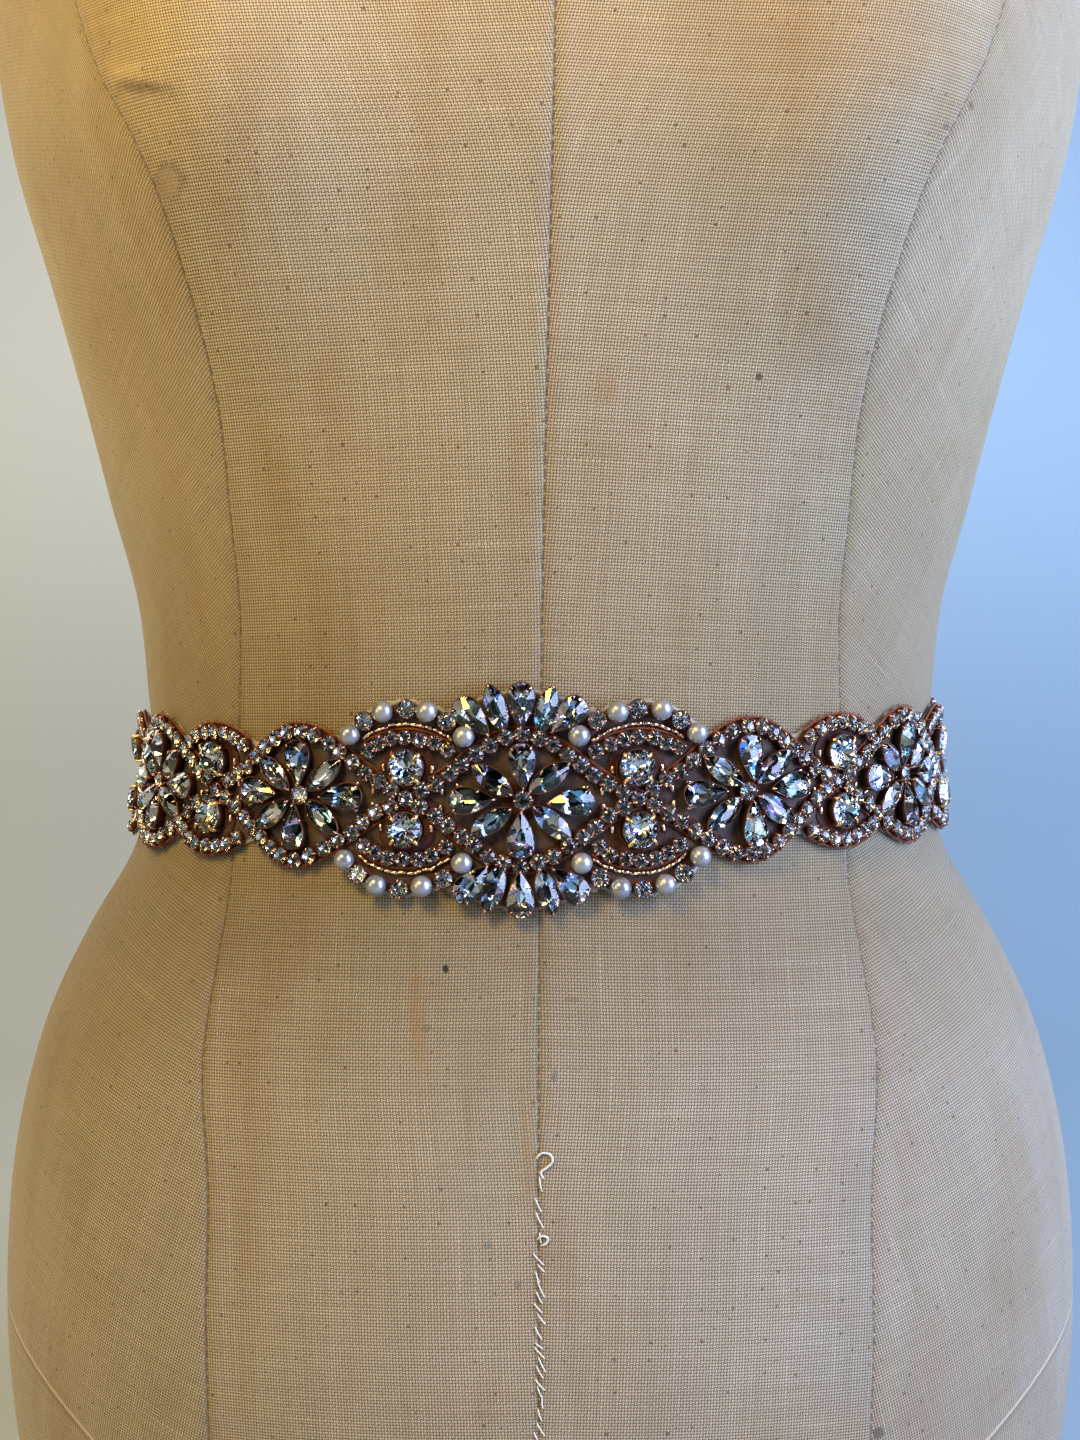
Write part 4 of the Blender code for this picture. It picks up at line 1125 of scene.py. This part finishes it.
def stitchShape(length, radius, height):
    # an arch of thread: a half circle squeezed to its length and height, with its ends in the cloth
    sides, steps = 5, 7
    arch = np.linspace(0, np.pi, steps)
    path = joined(-np.cos(arch) * length / 2, np.sin(arch) * height - radius * 0.5)
    along, turn = unit(joined(np.sin(arch) * length / 2, np.cos(arch) * height)), turns(sides)
    x, z = aside(path, along, radius * np.cos(turn))
    mapped = joined(arch[:, None] * length / 2, turn * radius)
    return joined(x, radius * np.sin(turn), z), tubeFaces(steps, sides, inwards=True), mapped


def trimPaths():
    # the strands end to end, and each arc of small stones and of pearls, as paths on the band
    fine = np.linspace(-crossings[-1], crossings[-1], 2400)
    strands = [joined(fine, side * abs(strand(fine))) for side in (1, -1)]
    arcs, pearlArcs = [], []
    for pair in belt["pairs"]:
        kinds = [(arcs, belt["arcRadius"], belt["arcCrest"], 0.66)]
        if pair == belt["pairs"][0]:
            kinds.append((pearlArcs, belt["pearlArcRadius"], belt["pearlArcCrest"], 0.98))
        for found, radius, crest, half in kinds:
            u, v = arcPlace(pair, crest, radius, np.linspace(-half, half, 120))
            found += [joined(m * u, w * v)[:: m * w] for m in (1, -1) for w in (1, -1)]
    return strands, arcs, pearlArcs


def stitchRows(paths, away, spread, every):
    # whip stitches over a line beside each path, leaning a little each way
    rows = []
    for path in paths:
        for side in away:
            places, _ = evenPoints(offsetPath(path, side), every)
            along = heading(places)
            lean = np.arctan2(along[:, 1], along[:, 0]) + np.pi / 2 + luck.normal(size=len(places)) * spread
            rows.append(np.column_stack([places, lean]))
    return np.concatenate(rows)


def makeTrim():
    # thread bases under the stones, plied cords at their edges and round stones, and whip stitches over them
    strands, arcs, pearlArcs = trimPaths()
    half, offset = trim["baseHalfWidth"], trim["cordOffset"]
    bases = [baseBand(path, half) for path in strands + arcs]
    shift, narrow = trim["pearlBaseShift"], trim["pearlBaseHalfWidth"]
    bases += [baseBand(offsetPath(path, shift), narrow) for path in pearlArcs]
    flowers = [(at, 0.0, 0.0) for flower in belt["flowers"] for at in bothSides(flower)]
    bases += [copies(threadPad(*radii), placesOf(rows, 0, 0.01, 1.0))
              for radii, rows in zip(trim["padRadii"], (stoneRows["chaton"], flowers))]
    makeMesh("threadBase", bases, [coatings["copperThread"]])
    outward = [(strands[0], offset), (strands[1], -offset)] + [(path, offset) for path in arcs]
    cords = [twistedCord(offsetPath(path, away)) for path, away in outward]
    makeMesh("edgeCord", cords, [coatings["cordThread"]])
    rings = copies(ringCord("chaton"), placesOf(stoneRows["chaton"], 0.0001, 0.02, 0.02))
    makeMesh("stoneCords", [rings], [coatings["copperThread"]])
    beside = half - trim["stitchInset"]
    rows = stitchRows(strands + arcs, (beside, -beside), trim["stitchLean"], trim["stitchEvery"])
    stitches = copies(stitchShape(*trim["stitch"]), placesOf(rows, 0.00012, 0.06, 0.12))
    makeMesh("whipStitches", [stitches], [coatings["copperThread"]])


makeTrim()
print("trim made")

ribbon = {
    "underlap": 0.009, "hem": 0.006, "foldRadius": 0.00020, "lift": 0.00085, "tuckedLift": 0.00012,
    "tuckedRun": 0.006, "step": 0.0010, "rows": 31, "selvedgeRise": 0.00009, "selvedgeWidth": 0.00035,
    "pull": 0.00016, "pullPitch": 0.0074, "pullReach": 0.016, "ripple": 0.00010,
    "stitchEvery": 0.0024, "joinEvery": 0.0030, "firstStitch": 0.0016, "lastStitch": 0.0010,
    "hemInset": 0.0011, "joinInset": 0.0006,  # and each stitch's length, radius and height:
    "hemStitch": (0.0016, 0.00011, 0.00030), "joinStitch": (0.0030, 0.00013, 0.00060),
}


def makeRibbon(name, node, sign):
    # a strip along the waist: tucked under the band's tab, lying flat, then folded back on itself for a hem
    start = sign * belt["shift"] + belt["halfLength"] - ribbon["underlap"]
    end = halfWaist - belt["closureHalfGap"]
    fold, half, selvedgeWidth = ribbon["foldRadius"], belt["ribbonHalfWidth"], ribbon["selvedgeWidth"]
    flatRun = end - fold - start
    total = flatRun + math.pi * fold + ribbon["hem"]
    run = np.concatenate([np.linspace(0, flatRun, round(flatRun / ribbon["step"])),
                          flatRun + math.pi * fold * np.linspace(0.12, 0.88, 6),
                          np.linspace(total - ribbon["hem"], total, 8)])[:, None]
    turned = np.clip((run - flatRun) / fold, 0, math.pi)
    past = np.clip(run - flatRun - math.pi * fold, 0, None)
    length = start + np.minimum(run, flatRun) + fold * np.sin(turned) - past
    tucked = (run - ribbon["underlap"]) / ribbon["tuckedRun"]
    height = (ribbon["tuckedLift"] + (ribbon["lift"] - ribbon["tuckedLift"]) * ease(tucked)
              - fold * (1 - np.cos(turned)))
    v = np.linspace(-1, 1, ribbon["rows"]) * half
    pull = (ribbon["pull"] * np.cos(v * 2 * math.pi / ribbon["pullPitch"] + 0.6 * sign)
            * bell(end - length, ribbon["pullReach"]))
    ripple = ribbon["ripple"] * np.sin(length * 95 + v * 160) * np.clip(tucked, 0, 1)
    selvedge = ribbon["selvedgeRise"] * bell(half - selvedgeWidth - abs(v), selvedgeWidth)
    grid = beltPoint(sign * length, v, height + (pull + ripple + selvedge) * np.where(turned == 0, 1.0, 0.4))
    faces = [gridFaces(len(run), ribbon["rows"], inwards=sign > 0)]
    piece = makeMesh(name, [(grid, faces, joined(run, v))], [coatings["satin"]])
    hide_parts(node)


closure = {
    "wireRadius": 0.00040, "sides": 12, "heights": (-0.0052, 0.0052), "lift": 0.0020, "step": 0.00022,
    "tip": 0.0003, "ringRadius": 0.0015, "hookRingAt": -0.0077, "eyeRingAt": (0.0060, 0.0023),
    "eyeOpening": math.radians(155),
    "hookBend": (  # along, rise
        (-0.0060, 0.0), (-0.0042, 0.0), (-0.0026, 0.0007), (-0.0010, 0.0011), (0.0002, 0.0008), (0.0007, 0.0),
        (0.0002, -0.0008), (-0.0008, -0.0011), (-0.0020, -0.0011),
    ),
    "eyeBend": ((0.0030, 0.0016), (0.0006, 0.0015), (-0.0007, 0.0009), (-0.0010, 0.0)),
    "stitches": 6, "stitch": (0.0017, 0.00013, 0.00105),  # length, radius, height
}


def closureLength(along):
    # the length round the waist of a place measured from centre back towards +X
    return np.where(along > 0, halfWaist - along, -halfWaist - along)


def wireRing(along, across, opening, sign):
    # an open ring of 300 degrees that ends where the leg leaves it
    turn = opening + sign * np.linspace(math.radians(300), 0, 22)
    radius = closure["ringRadius"]
    return joined(along + radius * np.cos(turn), across + radius * np.sin(turn), 0.0)


def wirePiece(name, node, path, upright):
    # round wire on a smooth curve through the path; its section's up turns from the cloth's normal to across
    chord = lengthsOf(path)
    run = np.linspace(0, chord[-1], round(chord[-1] / closure["step"]))
    along, across, rise = (smoothTable(chord, path[:, i], run) for i in range(3))
    lean = (np.interp(run, chord, upright) * math.pi / 2)[:, None]
    length, lift = closureLength(along), closure["lift"] + rise
    points = beltPoint(length, across, lift)
    outward = unit(beltPoint(length, across, lift + 1e-4) - points)
    upward = unit(beltPoint(length, across + 1e-4, lift) - points)
    blunt = np.sqrt(np.clip(np.minimum(run, run[-1] - run) / closure["tip"], 0.03, 1))[:, None]
    sides, reference = closure["sides"], outward * np.cos(lean) + upward * np.sin(lean)
    wire = tube(points, reference, blunt * closure["wireRadius"], sides), tubeFaces(len(run), sides)
    piece = makeMesh(name, [wire], [coatings["roseGold"]])
    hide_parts(node)


def makeClosure():
    # hooks with one sewing ring, eyes with two; gives the rows of the stitches over the rings
    rows, radius = [], closure["ringRadius"]
    at, reach = closure["eyeRingAt"]
    for label, across in zip(("lower", "upper"), closure["heights"]):
        ring = wireRing(closure["hookRingAt"], across, 0.0, 1)
        bend = np.array([(along, across, rise) for along, rise in closure["hookBend"]])
        upright = [0.0] * (len(ring) + 1) + [1.0] * (len(bend) - 1)
        wirePiece("hook" + label.capitalize(), "hook_" + label, np.concatenate([ring, bend]), upright)
        leg = np.array([(along, across + aboveIt, 0.0) for along, aboveIt in closure["eyeBend"]])
        backLeg = leg[-2::-1] * (1, -1, 1) + (0, 2 * across, 0)
        upper = wireRing(at, across + reach, -closure["eyeOpening"], -1)
        lower = wireRing(at, across - reach, closure["eyeOpening"], 1)[::-1]
        path = np.concatenate([upper, leg, backLeg, lower])
        wirePiece("eye" + label.capitalize(), "eye_" + label, path, [0.0] * len(path))
        spokes = np.radians(np.linspace(60, 300, closure["stitches"]))
        hook = closure["hookRingAt"]
        for centre, v, start in ((hook, across, 0.0), (at, across + reach, 3.0), (at, across - reach, 3.4)):
            spoke = spokes + start
            where = closureLength(centre + radius * np.cos(spoke)) - belt["shift"]
            rows.append(joined(where, v + radius * np.sin(spoke), math.pi - spoke))
    return np.concatenate(rows)


def makeBack():
    # the closure, the stitches across each hem and along each tab, and the two ribbons
    sewn = [copies(stitchShape(*closure["stitch"]), placesOf(makeClosure(), 0.00005, 0.02, 0.12))]
    hems, joins, half = [], [], belt["ribbonHalfWidth"]
    first, last = ribbon["firstStitch"] - half, half - ribbon["lastStitch"]
    for sign in (1, -1):
        at = sign * (halfWaist - belt["closureHalfGap"] - ribbon["hem"] + ribbon["hemInset"]) - belt["shift"]
        hems += [(at, v, math.pi / 2) for v in np.arange(first, last, ribbon["stitchEvery"])]
        at = sign * (belt["halfLength"] - ribbon["joinInset"])
        joins += [(at, v, 0.1) for v in np.arange(first, half, ribbon["joinEvery"])]
    sewn.append(copies(stitchShape(*ribbon["hemStitch"]), placesOf(hems, 0.00004, 0.02, 0.05)))
    sewn.append(copies(stitchShape(*ribbon["joinStitch"]), placesOf(joins, 0.00008, 0.02, 0.10)))
    makeMesh("ribbonStitches", sewn, [coatings["ribbonThread"]])
    makeRibbon("ribbonRight", "ribbon_right", 1)
    makeRibbon("ribbonLeft", "ribbon_left", -1)


makeBack()
print("ribbons and closure made")

# White hand stitches that close the form's centre front seam again, and a loose loop at their top
mending = {
    "top": 0.1640, "thin": 0.1450, "steps": (0.0046, 0.0029), "lean": (0.0007, 0.0036),
    "radius": 0.00026, "lift": 0.00030, "wander": (0.00035, 0.0007, 0.00035, 0.0007), "formRadius": 0.125,
    "loop": ((-0.0010, 0.1655), (0.0004, 0.1672), (0.0021, 0.1668), (0.0026, 0.1650), (0.0014, 0.1634),
             (0.0002, 0.1622), (0.0008, 0.1602)),
    "tail": ((-0.0006, 0.1440), (0.0004, 0.1452), (0.0016, 0.1446), (0.0012, 0.1432), (0.0002, 0.1424)),
}


def formThread(path, radius, lift):
    # a thread on the form's surface along rows of (across, height), its ends sinking into the cloth
    path = np.array(path)
    chord = lengthsOf(path)
    run = np.linspace(0, chord[-1], max(8, round(chord[-1] / 0.0005)))
    across, height = (smoothTable(chord, path[:, i], run) for i in (0, 1))
    rise = lift + radius * 1.2 - (lift + 2.6 * radius) * np.abs(2 * run / run[-1] - 1) ** 10
    angle = across / mending["formRadius"]
    normal = formNormal(angle, height)
    thread = tube(formPoint(angle, height) + normal * rise[:, None], normal, radius, 6)
    return thread, tubeFaces(len(run), 6), joined(run[:, None], turns(6) * radius)


def makeMending():
    # slanting stitches down the seam at two spacings, then the loop and the tail
    radius, lift, top, thin = (mending[name] for name in ("radius", "lift", "top", "thin"))
    threads = [formThread(mending[part], radius * 1.25, lift) for part in ("loop", "tail")]
    side, rise = mending["lean"]
    above, below = mending["steps"]
    for height in (*np.arange(top - 0.004, thin, -above), *np.arange(thin - 0.0035, 0.012, -below)):
        shift = luck.normal(size=4) * mending["wander"]
        ends = np.array([(-side, height), (-side * 0.2, height - rise * 0.45), (side, height - rise)])
        ends = ends + np.outer((1, 0.5, 0), shift[:2]) + np.outer((0, 0.5, 1), shift[2:])
        threads.append(formThread(ends, radius * 0.85, lift * 0.6))
    makeMesh("seamMending", threads, [coatings["cottonThread"]])


makeMending()
print("seam mended")

# the sweep's tint holds painted light: warm at the left, cool at the right, paler higher up
stage = {
    "front": -2.2, "floorDepth": 1.25, "backHeight": 2.2, "curve": 0.55, "halfWidth": 2.4, "drop": 0.0006,
    "warm": (0.39, 0.375, 0.29, 1), "cool": (0.25, 0.355, 0.45, 1), "paler": (0.10, 0.56, 0.95, 1.55),
}


def makeStage():
    # floor, curved corner and wall as one sheet: a straight run, a quarter circle and a straight rise
    turn = np.linspace(0, math.pi / 2, 24)
    depth, curve = stage["floorDepth"], stage["curve"]
    y = np.concatenate([[stage["front"]], depth - curve + curve * np.sin(turn), [depth]])[:, None]
    z = np.concatenate([[0.0], curve * (1 - np.cos(turn)), [stage["backHeight"]]])[:, None] - stage["drop"]
    grid = joined(np.linspace(-stage["halfWidth"], stage["halfWidth"], 3), y, z)
    material, tree = newMaterial("paleStage", Roughness=0.85)
    place = objectPlace(tree)
    # painted light: the backdrop is tinted warm at the left and cool at the right, the colours of the lamps
    # on those sides, and painted paler higher up
    share = (place.split()[0].remap(-0.45, 0.45) + noise(place, 1.1, 2.0) * 0.12).clamped()
    tint = blend(share, stage["warm"], stage["cool"])
    paler = place.split()[2].remap(*stage["paler"])
    feed(material, Base_Color=add(tree, "VectorMath", {0: tint, 3: paler}, operation="SCALE")[0])
    # seen from behind it lets the view through
    facing = add(tree, "NewGeometry", {})["Backfacing"]
    shown, clear = Outputs(tree.nodes["Principled BSDF"])[0], add(tree, "BsdfTransparent", {})[0]
    surface = add(tree, "MixShader", {0: facing, 1: shown, 2: clear})[0]
    plug(tree.nodes["Material Output"], {"Surface": surface})
    makeMesh("stageSweep", [(grid, [gridFaces(len(y), 3)])], [material])


lamps = {  # place, what it faces, size across and down, watts, colour
    "window": ((1.17, -0.62, 0.62), (0.0, 0.0, 0.34), (0.8, 1.2), 50.0, (0.45, 0.58, 0.98)),
    "ceiling": ((-0.40, -0.70, 0.98), (-0.05, -0.08, 0.40), (0.36, 0.28), 10.2, (1.0, 0.70, 0.19)),
    "roomLeft": ((-1.10, -0.75, 0.60), (0.0, 0.0, 0.28), (0.5, 0.8), 4.8, (1.0, 0.85, 0.60)),
    "backLeft": ((-0.9, 0.75, 0.9), (0.0, 0.0, 0.3), (0.6, 0.9), 6.0, (1.0, 0.92, 0.78)),
    "backRight": ((0.9, 0.70, 0.8), (0.0, 0.0, 0.3), (0.6, 0.9), 7.0, (0.66, 0.82, 1.0)),
}
room = {"cells": 2.6, "power": 10.0, "bright": 2.2, "dim": 0.014, "warm": (1.0, 0.88, 0.72, 1),
        "cool": (0.78, 0.90, 1.0, 1), "plain": (0.46, 0.47, 0.48, 1)}


def placed(name, data, place):
    thing = bpy.data.objects.new(name, data)
    thing.location = place
    bpy.context.scene.collection.objects.link(thing)
    return thing


def makeLights():
    for name, (place, target, across, power, colour) in lamps.items():
        light = bpy.data.lights.new(name, "AREA")
        light.shape = "RECTANGLE"
        light.size, light.size_y = across
        light.energy, light.color = power, colour
        way = Vector(target) - Vector(place)
        placed(name, light, place).rotation_euler = way.to_track_quat("-Z", "Y").to_euler()
    world = bpy.data.worlds.new("studio")
    world.use_nodes = True
    # the room round the part: cells of light and dark that the cut stones pick up
    tree = world.node_tree
    way = add(tree, "TexCoord", {})["Generated"]
    cells = add(tree, "TexVoronoi", {"Vector": way, "Scale": room["cells"]})["Color"]
    chance = add(tree, "SeparateColor", {0: cells})
    glow = chance[0] ** room["power"] * room["bright"] + room["dim"]
    seen = add(tree, "LightPath", {})["Is Camera Ray"]
    tint = blend(seen, blend(chance[1], room["warm"], room["cool"]), room["plain"])
    plug(tree.nodes["Background"], {"Color": tint, "Strength": between(seen, glow, 1.0)})
    bpy.context.scene.world = world
    bpy.context.scene.view_settings.view_transform = "Standard"


camera = {"place": (0.0, -0.663, 0.322), "pitch": -3.8, "lens": 52.0, "sensor": 36.0, "near": 0.01}


def makeCamera():
    lens = bpy.data.cameras.new("photographView")
    lens.lens, lens.sensor_width, lens.sensor_fit = camera["lens"], camera["sensor"], "AUTO"
    lens.clip_start = camera["near"]
    view = placed("photographView", lens, camera["place"])
    view.rotation_euler = (math.radians(90 + camera["pitch"]), 0, 0)
    bpy.context.scene.camera = view


makeStage()
makeLights()
makeCamera()
print("stage, lights and camera ready")
